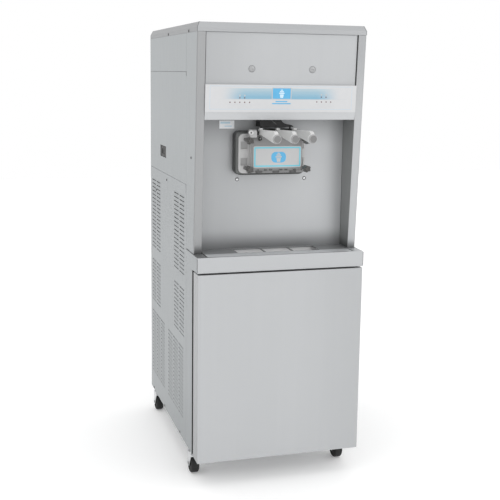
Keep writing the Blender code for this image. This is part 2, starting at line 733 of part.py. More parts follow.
def make_door():
    """Cast door: plug, flange, draw block with its lugs, and three spouts with room for their caps."""
    flange = rounded_outline((-0.1440, 1.1830), (0.1175, 1.3305), 0.018, 4)
    door = prism("freezer_door", "Y", flange, DOOR_FLANGE_Y, DOOR_FLANGE_Y + 0.0079, "door_plastic")
    core = rounded_outline((PLUG_X[0], PLUG_Z[0]), (PLUG_X[1], PLUG_Z[1]), 0.012, 3)
    plug = prism("door_plug", "Y", core, DOOR_FLANGE_Y + 0.004, SPLASH_Y - 0.0025)
    side_view = [
        (DOOR_FLANGE_Y + 0.004, BLOCK_Z[0]),
        (DOOR_FACE_Y + 0.010, BLOCK_Z[0]),
        (DOOR_FACE_Y, BLOCK_Z[0] + 0.008),
        (DOOR_FACE_Y, BLOCK_Z[1] - 0.0305),
        (DOOR_FACE_Y + 0.0115, BLOCK_Z[1]),
        (DOOR_FLANGE_Y + 0.004, BLOCK_Z[1]),
    ]
    join(door, plug, prism("door_block", "X", side_view, *BLOCK_X))
    lugs = [(*ends, 0.0110) for ends in END_LUGS_X]
    lugs += [(x - MIDDLE_LUG_HALF, x + MIDDLE_LUG_HALF, 0.0060) for x in (-FLAVOUR_X / 2, FLAVOUR_X / 2)]
    for i, (start, end, radius) in enumerate(lugs):
        join(door, prism(f"door_lug_{i}", "X", lug_outline(radius), start, end))
    places = [(side * FLAVOUR_X, VALVE_Y) for side in FLAVOURS.values()]
    cap_ends = [((*place, BLOCK_Z[0] - 0.012), 0.012) for place in places]
    cap_rooms = rods("door_cap_rooms", "Z", CAP_RADIUS + 0.0007, cap_ends)
    spouts = rods("door_spouts", "Z", SPOUT_RADIUS, [((*place, SPOUT_Z), 0.012) for place in places])
    bore_ends = [((*place, SPOUT_Z - 0.02), 0.20) for place in places]
    bores = rods("door_bores", "Z", VALVE_RADIUS + 0.0005, bore_ends)
    pin_start = (PLUG_X[0], PIVOT_Y, PIVOT_Z)
    pin_bore = rods("door_pin_bore", "X", PIN_RADIUS + PIN_PLAY, [(pin_start, PLUG_X[1] - PLUG_X[0])], 12)
    screw_places = [(x, z) for x in HANDSCREW_X.values() for z in HANDSCREW_Z.values()]
    screw_ends = [((x, DOOR_FACE_Y - 0.012, z), 0.12) for x, z in screw_places]
    screw_holes = rods("door_screw_holes", "Y", SCREW_RADIUS + 0.0004, screw_ends, 12)
    pads = box_group(
        "door_pads",
        [
            ((x0, DOOR_FACE_Y - 0.012, z), (x1, DOOR_FLANGE_Y + 0.004, z + 0.028))
            for x0, x1 in ((-0.1350, -0.1085), (0.0995, 0.1125))
            for z in (1.2120, 1.2735)
        ],
    )
    cut(door, cap_rooms)
    join(door, spouts)
    cut(door, bores, pin_bore, screw_holes, pads)


def make_door_label():
    outline = rounded_outline((-0.0955, 1.2050), (0.0955, 1.2870), 0.006, 3)
    prism("door_label", "Y", outline, DOOR_FACE_Y - 0.0023, DOOR_FACE_Y - GAP, "white_overlay")


def make_pivot_pin():
    """Pin along X through the door's lugs, with a small collar at each end."""
    left, right = END_LUGS_X[0][0] - 0.0005, END_LUGS_X[1][1] + 0.0005
    collar_radius, collar = PIN_RADIUS + 0.0015, 0.0030
    profile = [
        (0.0, right + collar),
        (collar_radius, right + collar),
        (collar_radius, right),
        (PIN_RADIUS, right),
        (PIN_RADIUS, left),
        (collar_radius, left),
        (collar_radius, left - collar),
        (0.0, left - collar),
    ]
    turned("pivot_pin", "X", profile, "stainless", (0, PIVOT_Y, PIVOT_Z), 12)


def make_draw_handle(name, side):
    """Lever with a wedge-shaped arm, a round knob in front and a tongue that lifts the valve behind."""
    x = side * FLAVOUR_X
    origin = (x, PIVOT_Y, PIVOT_Z)
    knob_z, knob_radius, knob_length = 1.3255, 0.0165, 0.020
    knob_back = HANDLE_FRONT_Y + knob_length
    arm_low, tongue_half = knob_z - knob_radius + 0.0015, 0.0030
    wedge = [
        (PIVOT_Y + 0.002, PIVOT_Z + 0.0098),
        (knob_back + 0.008, knob_z + 0.0275),
        (knob_back - 0.006, knob_z + 0.0225),
        (knob_back - 0.010, knob_z + 0.0120),
        (knob_back - 0.010, arm_low),
        (knob_back + 0.012, arm_low),
        (PIVOT_Y - 0.012, PIVOT_Z - 0.0070),
        (PIVOT_Y + 0.002, PIVOT_Z - 0.0088),
    ]
    arm_ends = (x - HUB_HALF + 0.0005, x + HUB_HALF - 0.0005)
    handle = prism(f"draw_handle_{name}", "X", wedge, *arm_ends, "handle_plastic", origin)
    knob = rods(f"handle_{name}_knob", "Y", knob_radius, [((x, HANDLE_FRONT_Y, knob_z), knob_length)], 20)
    hub = rods(f"handle_{name}_hub", "X", HUB_RADIUS, [((x - HUB_HALF, PIVOT_Y, PIVOT_Z), 2 * HUB_HALF)], 16)
    tongue = box(
        f"handle_{name}_tongue",
        (x - tongue_half, PIVOT_Y, PIVOT_Z - tongue_half),
        (x + tongue_half, VALVE_Y + 0.0070, PIVOT_Z + tongue_half),
    )
    bore = rods(f"handle_{name}_bore", "X", PIN_RADIUS + PIN_PLAY, [((x - 0.02, PIVOT_Y, PIVOT_Z), 0.04)], 12)
    join(handle, knob, hub, tongue)
    cut(handle, bore)


def make_draw_valve(name, side):
    """Plunger with a slot across its top for the handle's tongue."""
    x = side * FLAVOUR_X
    base = (x, VALVE_Y, VALVE_Z[0])
    valve = rods(
        f"draw_valve_{name}", "Z", VALVE_RADIUS, [(base, VALVE_Z[1] - VALVE_Z[0])], 16, "white_nylon", base
    )
    slot_half, slot_depth = 0.0038, 0.014
    slot = box(
        f"valve_slot_{name}",
        (x - slot_half, VALVE_Y - 0.02, VALVE_Z[1] - slot_depth),
        (x + slot_half, VALVE_Y + 0.02, VALVE_Z[1] + 0.01),
    )
    cut(valve, slot)


def make_design_cap(name, side):
    """Cap round each spout, open at the bottom."""
    low, top = CAP_Z
    inside, mouth, bore = low + 0.0012, 0.0070, SPOUT_RADIUS + 0.0007
    section = [
        (CAP_RADIUS, top),
        (CAP_RADIUS, low),
        (mouth, low),
        (mouth, inside),
        (bore, inside),
        (bore, top),
    ]
    profile = [(r, z - low) for r, z in section]
    turned(
        f"design_cap_{name}", "Z", profile, "white_nylon", (side * FLAVOUR_X, VALVE_Y, low), 12, closed=True
    )


def make_handscrew(name, x, z):
    """Knobbed screw that clamps the door. The profile's places are measured back from the flange."""
    shank_end = SPLASH_Y - 0.012 - DOOR_FLANGE_Y
    seat, neck, knob, tip = -0.0005, -0.0390, -0.0450, -0.0800
    head_radius, neck_radius, knob_radius = 0.0070, 0.0060, 0.0140
    profile = [
        (0.0, shank_end),
        (SCREW_RADIUS, shank_end),
        (SCREW_RADIUS, seat),
        (head_radius, seat),
        (head_radius, seat - 0.0075),
        (neck_radius, seat - 0.0115),
        (neck_radius, neck),
        (knob_radius, knob),
        (knob_radius, tip + 0.0060),
        (knob_radius - 0.0040, tip),
        (0.0, tip),
    ]
    turned(f"handscrew_{name}", "Y", profile, "screw_knob", (x, DOOR_FLANGE_Y, z), 12)


def make_switch_housing():
    """Moulded cover of the draw switch, under the console; its right shoulder slopes."""
    left_x, low_z, front = -0.0630, 1.3555, -0.3020
    outline = [
        (left_x, low_z),
        (0.0700, low_z),
        (0.0660, 1.3605),
        (0.0560, 1.3640),
        (0.0360, 1.3670),
        (0.0260, 1.3740),
        (0.0180, LIP_Z - GAP),
        (left_x, LIP_Z - GAP),
    ]
    prism("switch_housing", "Y", outline, front, SPLASH_Y - GAP, "black_plastic")


# ---------------------------------------------------------------- freezing cylinders and drive
BARREL_RADIUS = 0.062
BORE_RADIUS = 0.050
SHAFT_RADIUS = 0.0075
GEAR_Y = CYLINDER_REAR_Y + 0.016


def make_freezing_cylinder(name, side):
    """Insulated barrel behind the splash panel's opening, with a hole in its back plate for the shaft."""
    front = SPLASH_Y + SHEET + GAP
    origin = (side * FLAVOUR_X, front, CYLINDER_Z)
    length = CYLINDER_REAR_Y - front
    plate, shaft_hole = 0.012, SHAFT_RADIUS + 0.0015
    profile = [
        (BARREL_RADIUS, length),
        (BARREL_RADIUS, 0.0),
        (BORE_RADIUS, 0.0),
        (BORE_RADIUS, length - plate),
        (shaft_hole, length - plate),
        (shaft_hole, length),
    ]
    turned(f"freezing_cylinder_{name}", "Y", profile, "insulation", origin, 20, closed=True)


def make_beater(name, side):
    """Scraper frame on a shaft that runs through the cylinder's back plate."""
    x = side * FLAVOUR_X
    front = SPLASH_Y + 0.004
    origin = (x, front, CYLINDER_Z)
    length = GEAR_Y + 0.018 - front
    shaft = rods(f"beater_{name}", "Y", SHAFT_RADIUS, [(origin, length)], 12, "stainless_inner", origin)
    web_half, web_length, reach = 0.004, 0.006, 0.0440
    for i, y in enumerate((front + 0.012, front + 0.210, CYLINDER_REAR_Y - 0.030)):
        low = (x - web_half, y, CYLINDER_Z - reach)
        high = (x + web_half, y + web_length, CYLINDER_Z + reach)
        join(shaft, box(f"beater_{name}_web_{i}", low, high))
    blade_half, blade_in, blade_out = 0.003, 0.040, 0.047
    for i, up in enumerate((-1, 1)):
        z = sorted((CYLINDER_Z + up * blade_in, CYLINDER_Z + up * blade_out))
        low = (x - blade_half, front + 0.004, z[0])
        high = (x + blade_half, CYLINDER_REAR_Y - 0.018, z[1])
        join(shaft, box(f"beater_{name}_blade_{i}", low, high))


def make_gear_motor(name, side):
    """Gear unit with a drive socket in front and its motor behind, standing on the deck."""
    x = side * FLAVOUR_X
    half_width, case_length, case_top = 0.054, 0.070, 1.305
    motor_radius, motor_length = 0.048, 0.150
    case = box(
        f"gear_motor_{name}",
        (x - half_width, GEAR_Y, DECK_Z[1] + GAP),
        (x + half_width, GEAR_Y + case_length, case_top),
        "motor_paint",
    )
    motor_start = (x, GEAR_Y + case_length - 0.010, CYLINDER_Z)
    motor = rods(f"gear_motor_{name}_motor", "Y", motor_radius, [(motor_start, motor_length)], 20)
    socket_start = (x, GEAR_Y - 0.01, CYLINDER_Z)
    socket = rods(f"gear_motor_{name}_socket", "Y", SHAFT_RADIUS + 0.0007, [(socket_start, 0.030)], 12)
    join(case, motor)
    cut(case, socket)


# ---------------------------------------------------------------- refrigeration
FAN_Y, FAN_Z = 0.175, 0.330
FAN_REACH = 0.150
UNIT_Z = TRAY_FLOOR_Z + GAP  # what stands on the base tray's floor


def make_compressor():
    """Domed can on a round foot plate."""
    can, foot, foot_height = 0.092, 0.105, 0.008
    profile = [
        (0.0, 0.240),
        (0.050, 0.232),
        (0.082, 0.205),
        (can, 0.165),
        (can, 0.050),
        (0.078, 0.020),
        (0.078, foot_height),
        (foot, foot_height),
        (foot, 0.0),
        (0.0, 0.0),
    ]
    turned("compressor", "Z", profile, "motor_paint", (-0.120, 0.150, UNIT_Z), 18)


def make_condenser():
    """Finned core with its fan shroud, and the fan motor on a bracket."""
    front_y, rear_y, top_z = -0.050, 0.400, 0.555
    core_x, shroud_x = (0.215, 0.260), (0.180, 0.217)
    core = box("condenser", (core_x[0], front_y, UNIT_Z), (core_x[1], rear_y, top_z), "copper_fin")
    shroud = box("condenser_shroud", (shroud_x[0], front_y, UNIT_Z), (shroud_x[1], rear_y, top_z))
    throat_start = (shroud_x[0] - 0.02, FAN_Y, FAN_Z)
    throat_depth = core_x[0] - throat_start[0] - 0.0015
    throat = rods("condenser_throat", "X", FAN_REACH + 0.015, [(throat_start, throat_depth)], 28)
    cut(shroud, throat)
    bracket_x, bracket_half, foot_height = (0.150, 0.165), 0.015, 0.012
    low = (bracket_x[0], FAN_Y - bracket_half, UNIT_Z)
    bracket = box("condenser_bracket", low, (bracket_x[1], FAN_Y + bracket_half, FAN_Z))
    foot = box("condenser_foot", low, (shroud_x[0] + 0.020, FAN_Y + bracket_half, UNIT_Z + foot_height))
    motor = rods("condenser_motor", "X", 0.035, [((bracket_x[0] - 0.050, FAN_Y, FAN_Z), 0.065)], 16)
    join(core, shroud, foot, bracket, motor)


def make_fan():
    """Hub in front of the fan motor, with four twisted blades."""
    hub_radius, hub_length, blades = 0.030, 0.040, 4
    origin = (0.1655, FAN_Y, FAN_Z)
    hub = rods("condenser_fan", "X", hub_radius, [(origin, hub_length)], 16, "dark_grey_plastic", origin)
    blade_low = (-0.0015, -0.028, hub_radius - 0.010)
    blade_high = (0.0015, 0.028, FAN_REACH)
    twist = Matrix.Rotation(math.radians(62 + 90), 4, "Z")
    for i in range(blades):
        blade = box(f"fan_blade_{i}", blade_low, blade_high, origin=(0, 0, 0))
        turn = Matrix.Rotation(i * 2 * math.pi / blades, 4, "X")
        blade.matrix_world = Matrix.Translation((0.1880, FAN_Y, FAN_Z)) @ turn @ twist
        join(hub, blade)


# ---------------------------------------------------------------- casters
CASTER_X = 0.300
CASTER_Y = {"front": -0.271, "rear": 0.4465}  # swivel axes
STEM_Z = 0.0860
CROWN_Z = (0.0790, 0.0870)


def make_caster_fork(name, x, y):
    """Swivel fork with an axle bolt, trailing behind its pivot."""
    axle_y = y + CASTER_TRAIL
    half_fork, cheek_in, bolt_half = 0.0180, 0.0135, 0.0200
    pivot = (x, y, CABINET_BOTTOM_Z)
    stem = [((x, y, STEM_Z), CABINET_BOTTOM_Z - GAP - STEM_Z)]
    fork = rods(f"caster_fork_{name}", "Z", 0.020, stem, 16, "black_plastic", pivot)
    low = (x - half_fork, y - 0.0235, CROWN_Z[0])
    high = (x + half_fork, y + 0.0370, CROWN_Z[1])
    join(fork, box(f"caster_{name}_crown", low, high))
    cheek = [
        (y - 0.018, CROWN_Z[0] + 0.001),
        (axle_y - 0.011, WHEEL_RADIUS),
        (axle_y - 0.006, WHEEL_RADIUS - 0.010),
        (axle_y + 0.006, WHEEL_RADIUS - 0.010),
        (axle_y + 0.011, WHEEL_RADIUS),
        (y + 0.035, CROWN_Z[0] + 0.001),
    ]
    for i, side in enumerate((-1, 1)):
        ends = sorted((x + side * cheek_in, x + side * (half_fork - 0.001)))
        join(fork, prism(f"caster_{name}_cheek_{i}", "X", cheek, *ends))
    bolt_start = (x - bolt_half, axle_y, WHEEL_RADIUS)
    join(fork, rods(f"caster_{name}_bolt", "X", 0.0040, [(bolt_start, 2 * bolt_half)], 12))


def make_caster_wheel(name, x, y):
    """Wheel whose lowest facet lies flat on the floor."""
    corner = WHEEL_RADIUS / math.cos(math.pi / WHEEL_SIDES)
    tread_half, side_half, side_radius, bore = 0.0110, 0.0125, 0.0300, 0.0045
    section = [
        (corner, tread_half),
        (corner, -tread_half),
        (side_radius, -side_half),
        (bore, -side_half),
        (bore, side_half),
        (side_radius, side_half),
    ]
    turned(
        f"caster_wheel_{name}",
        "X",
        section,
        "tread_rubber",
        (x, y + CASTER_TRAIL, WHEEL_RADIUS),
        WHEEL_SIDES,
        turn=math.pi / WHEEL_SIDES,
        closed=True,
    )


# ---------------------------------------------------------------- assembly
make_chassis()
for side_name, sign in SIDES.items():
    make_corner_post(side_name, sign)
    make_side_panels(side_name, sign)
    make_hopper(side_name, sign)
    make_feed_tube(side_name, sign)
    make_hopper_cover(side_name, sign)
    make_freezing_cylinder(side_name, sign)
    make_beater(side_name, sign)
    make_gear_motor(side_name, sign)
    for row, height in HANDSCREW_Z.items():
        make_handscrew(f"{row}_{side_name}", HANDSCREW_X[side_name], height)
    for end, caster_y in CASTER_Y.items():
        make_caster_fork(f"{end}_{side_name}", sign * CASTER_X, caster_y)
        make_caster_wheel(f"{end}_{side_name}", sign * CASTER_X, caster_y)
for valve_name, sign in FLAVOURS.items():
    make_draw_handle(valve_name, sign)
    make_draw_valve(valve_name, sign)
    make_design_cap(valve_name, sign)
make_rear_panel()
make_top_cover()
make_upper_front_panel()
make_console()
make_lower_front_panel()
make_splash_panel()
make_counter()
make_drip_tray()
make_side_drip_pan()
make_door_shroud()
make_door()
make_door_label()
make_pivot_pin()
make_switch_housing()
make_compressor()
make_condenser()
make_fan()
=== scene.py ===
import json
import math

import bmesh
import bpy
from mathutils import Matrix, Vector


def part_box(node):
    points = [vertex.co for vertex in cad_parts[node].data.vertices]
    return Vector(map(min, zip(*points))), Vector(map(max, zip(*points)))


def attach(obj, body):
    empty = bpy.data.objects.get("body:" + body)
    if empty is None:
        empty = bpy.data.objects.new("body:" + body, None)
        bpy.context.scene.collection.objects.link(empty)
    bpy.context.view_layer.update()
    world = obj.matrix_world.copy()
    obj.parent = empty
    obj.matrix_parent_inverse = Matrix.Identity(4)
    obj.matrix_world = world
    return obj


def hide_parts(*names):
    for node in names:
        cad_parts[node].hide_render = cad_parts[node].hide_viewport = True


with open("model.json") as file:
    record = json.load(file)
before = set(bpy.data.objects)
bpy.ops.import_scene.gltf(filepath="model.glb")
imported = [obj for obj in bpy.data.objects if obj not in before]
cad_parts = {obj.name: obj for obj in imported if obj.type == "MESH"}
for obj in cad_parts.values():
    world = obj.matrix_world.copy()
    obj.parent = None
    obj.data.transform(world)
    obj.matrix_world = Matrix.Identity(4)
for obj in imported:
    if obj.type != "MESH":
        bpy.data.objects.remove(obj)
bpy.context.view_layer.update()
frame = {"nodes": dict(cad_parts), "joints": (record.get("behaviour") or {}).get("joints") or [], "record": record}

JOINTS = {joint["name"]: joint for joint in frame["joints"]}
SIDES = {"left": -1, "right": 1}
FLAVOURS = ("left", "centre", "right")
UP = Vector((0, 0, 1))


# ---------------------------------------------------------------- places taken from the frame
def low(node):
    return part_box(node)[0]


def high(node):
    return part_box(node)[1]


def joint_point(name):
    return Vector(JOINTS[name]["pos_m"])


HALF_WIDTH = high("rear_panel").x
OVERLAY_THICK = 0.0012
LEAN = (high("control_overlay").y - low("control_overlay").y - OVERLAY_THICK) / (
    high("control_overlay").z - low("control_overlay").z
)
LEAN_OUT = Vector((0, -1, -LEAN)).normalized()  # outward normal of the leaning front


def leaning_y(z, node="control_overlay"):
    """Front surface of a leaning node at a height."""
    return low(node).y + (high(node).z - z) * LEAN


# ---------------------------------------------------------------- materials
FINISH = {}  # every finished material by name


class Surface:
    """A Principled material with small helpers for procedural detail in object coordinates."""

    def __init__(self, name, roughness, metallic=0.0, **sockets):
        self.material = bpy.data.materials.new(name)
        self.material.use_nodes = True
        self.tree = self.material.node_tree
        self.shader = self.tree.nodes["Principled BSDF"]
        self.set("Roughness", roughness)
        self.set("Metallic", metallic)
        for socket, value in sockets.items():
            self.set(socket.replace("_", " "), value)
        self.place = self.add("ShaderNodeTexCoord").outputs["Object"]

    def set(self, socket, value):
        self.shader.inputs[socket].default_value = value

    def add(self, kind, **settings):
        node = self.tree.nodes.new(kind)
        for key, value in settings.items():
            setattr(node, key, value)
        return node

    def link(self, source, target):
        self.tree.links.new(source, target)

    def feed(self, node, socket, value):
        """Sets a node's socket to a number or links an output to it."""
        if isinstance(value, bpy.types.NodeSocket):
            self.link(value, node.inputs[socket])
        else:
            node.inputs[socket].default_value = value

    def noise(self, scale, detail=3.0, stretch=(1, 1, 1)):
        mapping = self.add("ShaderNodeMapping")
        mapping.inputs["Scale"].default_value = stretch
        self.link(self.place, mapping.inputs["Vector"])
        noise = self.add("ShaderNodeTexNoise")
        noise.inputs["Scale"].default_value = scale
        noise.inputs["Detail"].default_value = detail
        self.link(mapping.outputs["Vector"], noise.inputs["Vector"])
        return noise.outputs["Fac"]

    def math(self, operation, a, b=0.0):
        node = self.add("ShaderNodeMath", operation=operation)
        self.feed(node, 0, a)
        self.feed(node, 1, b)
        return node.outputs[0]

    def ramp(self, value, start, end, first=0.0, last=1.0, smooth=True):
        node = self.add("ShaderNodeMapRange")
        node.interpolation_type = "SMOOTHSTEP" if smooth else "LINEAR"
        self.feed(node, "Value", value)
        for socket, number in (("From Min", start), ("From Max", end), ("To Min", first), ("To Max", last)):
            node.inputs[socket].default_value = number
        return node.outputs["Result"]

    def mix(self, share, first, second):
        node = self.add("ShaderNodeMix", data_type="RGBA")
        self.feed(node, 0, share)
        for index, colour in ((6, first), (7, second)):
            if isinstance(colour, bpy.types.NodeSocket):
                self.link(colour, node.inputs[index])
            else:
                node.inputs[index].default_value = (*colour, 1.0)
        return node.outputs[2]

    def bump(self, height, strength, distance):
        node = self.add("ShaderNodeBump")
        node.inputs["Strength"].default_value = strength
        node.inputs["Distance"].default_value = distance
        self.link(height, node.inputs["Height"])
        self.link(node.outputs["Normal"], self.shader.inputs["Normal"])

    def colour(self, source):
        self.link(source, self.shader.inputs["Base Color"])

    def vary_roughness(self, source, middle, spread):
        """Lets a pattern move the roughness a little either side of its middle."""
        pattern = self.ramp(source, 0.3, 0.7, middle - spread, middle + spread)
        self.link(pattern, self.shader.inputs["Roughness"])


def shade(colour, factor):
    return tuple(min(1.0, channel * factor) for channel in colour)


def brushed(name, colour, roughness, along, metallic=0.55, contrast=0.05, bands=()):
    """Brushed sheet: fine lines along one axis, wide faint streaks, and slow variation over the sheet.

    A band is (axis, start, end, first, last): the colour's factor runs from first to last between two places.
    Bands paint shade and reflection into the colour.
    """
    made = Surface(name, roughness, metallic)
    stretch = [900.0, 900.0, 900.0]
    stretch["XYZ".index(along)] = 9.0
    lines = made.noise(1.0, 2.0, stretch)
    wide = made.noise(1.0, 3.0, [1.2 if axis == along else 38.0 for axis in "XYZ"])
    clouds = made.noise(2.2, 4.0)
    share = made.math("ADD", made.math("MULTIPLY", lines, 0.35), made.math("MULTIPLY", clouds, 0.30))
    share = made.math("ADD", share, made.math("MULTIPLY", wide, 0.35))
    tone = made.mix(share, shade(colour, 1 - contrast), shade(colour, 1 + contrast))
    if bands:
        split = made.add("ShaderNodeSeparateXYZ")
        made.link(made.place, split.inputs[0])
        factor = 1.0
        for axis, *limits in bands:
            factor = made.math("MULTIPLY", made.ramp(split.outputs[axis], *limits), factor)
        tone = made.mix(factor, (0.0, 0.0, 0.0), tone)
    made.colour(tone)
    made.vary_roughness(lines, roughness, 0.05)
    made.bump(lines, 0.10, 0.0002)
    FINISH[name] = made.material


def moulded(name, colour, roughness, grain=1800.0, bump=0.15, contrast=0.06, **sockets):
    """Moulded plastic, rubber or paint: a fine skin texture with slight mottling."""
    made = Surface(name, roughness, **sockets)
    skin = made.noise(grain, 3.0)
    mottle = made.noise(35.0, 4.0)
    made.colour(made.mix(mottle, shade(colour, 1 - contrast), shade(colour, 1 + contrast)))
    made.vary_roughness(mottle, roughness, 0.04)
    made.bump(skin, bump, 0.0002)
    FINISH[name] = made.material


def printed_overlay(name):
    """Pale film with a thin blue frame line, a middle rule and a blue band that fades out at both ends."""
    made = Surface(name, 0.38, Coat_Weight=0.15, Coat_Roughness=0.2)
    split = made.add("ShaderNodeSeparateXYZ")
    made.link(made.place, split.inputs[0])
    x, z = split.outputs["X"], split.outputs["Z"]

    def between(value, start, end, soft):
        rise = made.ramp(value, start - soft, start + soft)
        fall = made.ramp(value, end - soft, end + soft, 1.0, 0.0)
        return made.math("MULTIPLY", rise, fall)

    def area(x0, x1, z0, z1, soft=0.0004):
        return made.math("MULTIPLY", between(x, x0, x1, soft), between(z, z0, z1, soft))

    clouds = made.noise(60.0, 3.0)
    paper = made.mix(clouds, (0.55, 0.555, 0.565), (0.58, 0.585, 0.595))
    outer = area(-0.2735, 0.2735, 1.4235, 1.5075)
    inner = area(-0.2722, 0.2722, 1.4248, 1.5062)
    frame_line = made.math("SUBTRACT", outer, inner)
    rule = area(-0.256, 0.256, 1.4600, 1.4608)
    fade = made.math("MULTIPLY", made.ramp(x, -0.236, -0.135), made.ramp(x, 0.128, 0.232, 1.0, 0.0))
    band = made.math("MULTIPLY", fade, between(z, 1.4606, 1.4990, 0.0022))
    streaks = made.noise(1.0, 2.0, (2.0, 2.0, 330.0))
    depth = made.math("ADD", made.ramp(z, 1.462, 1.500, 0.70, 0.0), made.math("MULTIPLY", streaks, 0.42))
    blue = made.mix(depth, (0.42, 0.52, 0.56), (0.13, 0.36, 0.52))
    toned = made.mix(made.math("MULTIPLY", band, 0.92), paper, blue)
    toned = made.mix(made.math("MULTIPLY", frame_line, 0.6), toned, (0.36, 0.55, 0.72))
    toned = made.mix(made.math("MULTIPLY", rule, 0.45), toned, (0.40, 0.45, 0.50))
    made.colour(toned)
    made.bump(clouds, 0.05, 0.0002)
    FINISH[name] = made.material


# Most steel finishes below are lighter and darker copies of one steel. How light or dark each copy is stands for
# the light its faces catch: painted light and painted shade.
STEEL = (0.460, 0.470, 0.480)
# FEET is a band of painted shade, darker down to where the posts stand on the counter.
FEET = ("Z", 0.889, 0.928, 0.36, 1.0)  # the shade at the feet of the posts
# Bands of painted shade and painted reflection on the sheets, each (axis, start, end, first, last): they darken a
# sheet towards its feet, its top, a corner or one end, and leave the shield bright only along its front edge.
FRONT_BANDS = (("X", 0.05, 0.32, 1.0, 0.93),)
PANEL_BANDS = (("X", -0.29, -0.05, 0.90, 1.0),)
SHELF_BANDS = (("X", -0.31, -0.23, 0.40, 1.0),)
SHIELD_BANDS = (("Y", -0.352, -0.340, 1.0, 0.42),)
SIDE_BANDS = (("Z", 0.95, 1.40, 0.84, 1.0),)
POST_BANDS = (FEET, ("Z", 1.38, 1.66, 1.0, 0.82))
SPLASH_BANDS = (
    ("Z", 0.885, 0.970, 0.50, 1.0),
    ("Z", 1.27, 1.385, 0.92, 0.66),
    ("X", -0.29, 0.28, 0.81, 1.0),
)
# The shroud's bands are painted shade: darker at its left edge, its bottom and its top.
GASKET_BANDS = (
    ("X", -0.155, -0.147, 0.30, 1.0),
    ("Z", 1.176, 1.187, 0.25, 1.0),
    ("Z", 1.325, 1.340, 1.0, 0.30),
)
brushed("steel_front", STEEL, 0.40, "Z", bands=FRONT_BANDS)
brushed("steel_panel", shade(STEEL, 0.98), 0.40, "Z", bands=PANEL_BANDS)
brushed("steel_lip", shade(STEEL, 1.10), 0.38, "X")
brushed("steel_across", shade(STEEL, 1.0), 0.38, "X")
brushed("steel_shelf", shade(STEEL, 1.0), 0.38, "X", bands=SHELF_BANDS)
# A light copy of the steel, dimmed behind the front edge: painted reflection, bright along the shield's front edge
# and dim behind it.
brushed("steel_shield_painted_reflection", shade(STEEL, 1.50), 0.38, "X", contrast=0.12, bands=SHIELD_BANDS)
brushed("steel_tray_painted_light", (0.80, 0.80, 0.805), 0.40, "X", 0.1, 0.03)
brushed("steel_cap", shade(STEEL, 0.84), 0.40, "X")
brushed("steel_cap_side_painted_shade", shade(STEEL, 0.67), 0.40, "Y")
# Darker steel for the sides, the rear and faces turned sideways: painted shade, darker still low down.
brushed("steel_side_painted_shade", (0.372, 0.392, 0.402), 0.42, "Z", bands=SIDE_BANDS)
# Darker steel for bends and edges: painted shade along them.
brushed("steel_bend_painted_shade", (0.300, 0.305, 0.310), 0.42, "Z")
# Darker steel for the front panel's side returns: painted shade.
brushed("steel_return_painted_shade", (0.37, 0.378, 0.384), 0.42, "Z")
brushed("steel_shade", (0.335, 0.340, 0.345), 0.40, "Z", contrast=0.12, bands=(FEET,))
brushed("steel_post", shade(STEEL, 0.97), 0.40, "Z", contrast=0.07, bands=POST_BANDS)
# Darker steel for the posts' inner faces: painted shade inside the serving space.
brushed("steel_inner_painted_shade", (0.270, 0.276, 0.274), 0.42, "Z", bands=(FEET,))
brushed("steel_splash", shade(STEEL, 1.13), 0.40, "Z", bands=SPLASH_BANDS)
moulded("seam_grey", (0.16, 0.165, 0.17), 0.6)
moulded("screw_dark", (0.07, 0.07, 0.07), 0.4, Metallic=0.4)
brushed("screw_head", (0.37, 0.375, 0.38), 0.30, "X", 0.6)
brushed("steel_deep", (0.46, 0.47, 0.48), 0.32, "Y")
brushed("steel_bright", (0.66, 0.67, 0.68), 0.24, "Z", 0.9)
brushed("steel_dark", (0.22, 0.22, 0.22), 0.35, "X")
moulded("seam_shadow", (0.05, 0.05, 0.05), 0.8)
moulded("frame_paint", (0.30, 0.31, 0.32), 0.5, 400.0, Metallic=0.3)
printed_overlay("overlay")
moulded("label_white", (0.475, 0.48, 0.485), 0.40, contrast=0.02)
moulded("sticker", (0.88, 0.90, 0.92), 0.40, contrast=0.02)
moulded("label_cyan", (0.16, 0.52, 0.63), 0.38, contrast=0.04)
moulded("emblem_blue", (0.10, 0.40, 0.66), 0.35, contrast=0.08)
moulded("emblem_pale", (0.56, 0.72, 0.82), 0.35, contrast=0.03)
moulded("lamp", (0.16, 0.09, 0.09), 0.25, contrast=0.1)
moulded("key_ring", (0.56, 0.57, 0.60), 0.4)
moulded("door_light", (0.48, 0.48, 0.48), 0.38, 900.0)
moulded("lug_bright", (0.64, 0.64, 0.64), 0.35, 900.0)
moulded("door_face", (0.235, 0.235, 0.235), 0.42, 900.0)
moulded("door_pad_painted_shade", (0.34, 0.34, 0.34), 0.45, 900.0)
moulded("door_cap", (0.10, 0.10, 0.10), 0.45, 900.0)
moulded("handle", (0.60, 0.60, 0.595), 0.34, 900.0)
moulded("handle_front_painted_shade", (0.33, 0.33, 0.33), 0.40)
moulded("handle_dark", (0.185, 0.185, 0.185), 0.45)
moulded("black", (0.009, 0.009, 0.009), 0.50)
brushed("gasket", (0.140, 0.146, 0.144), 0.48, "X", 0.0, bands=GASKET_BANDS)
moulded("charcoal", (0.078, 0.083, 0.081), 0.48)
moulded("knob", (0.082, 0.080, 0.077), 0.36)
moulded("nylon", (0.66, 0.66, 0.64), 0.40, Subsurface_Weight=0.05)
brushed("zinc", (0.60, 0.61, 0.62), 0.34, "Z", 0.5)
moulded("liner", (0.21, 0.215, 0.22), 0.8, 300.0)
moulded("foam", (0.05, 0.05, 0.055), 0.9, 300.0, 0.4)
moulded("enamel", (0.02, 0.022, 0.025), 0.3, 200.0, 0.05, Coat_Weight=0.3)
brushed("fins", (0.55, 0.50, 0.46), 0.40, "Z", contrast=0.15)
moulded("rubber", (0.012, 0.012, 0.012), 0.75, 700.0, 0.3)


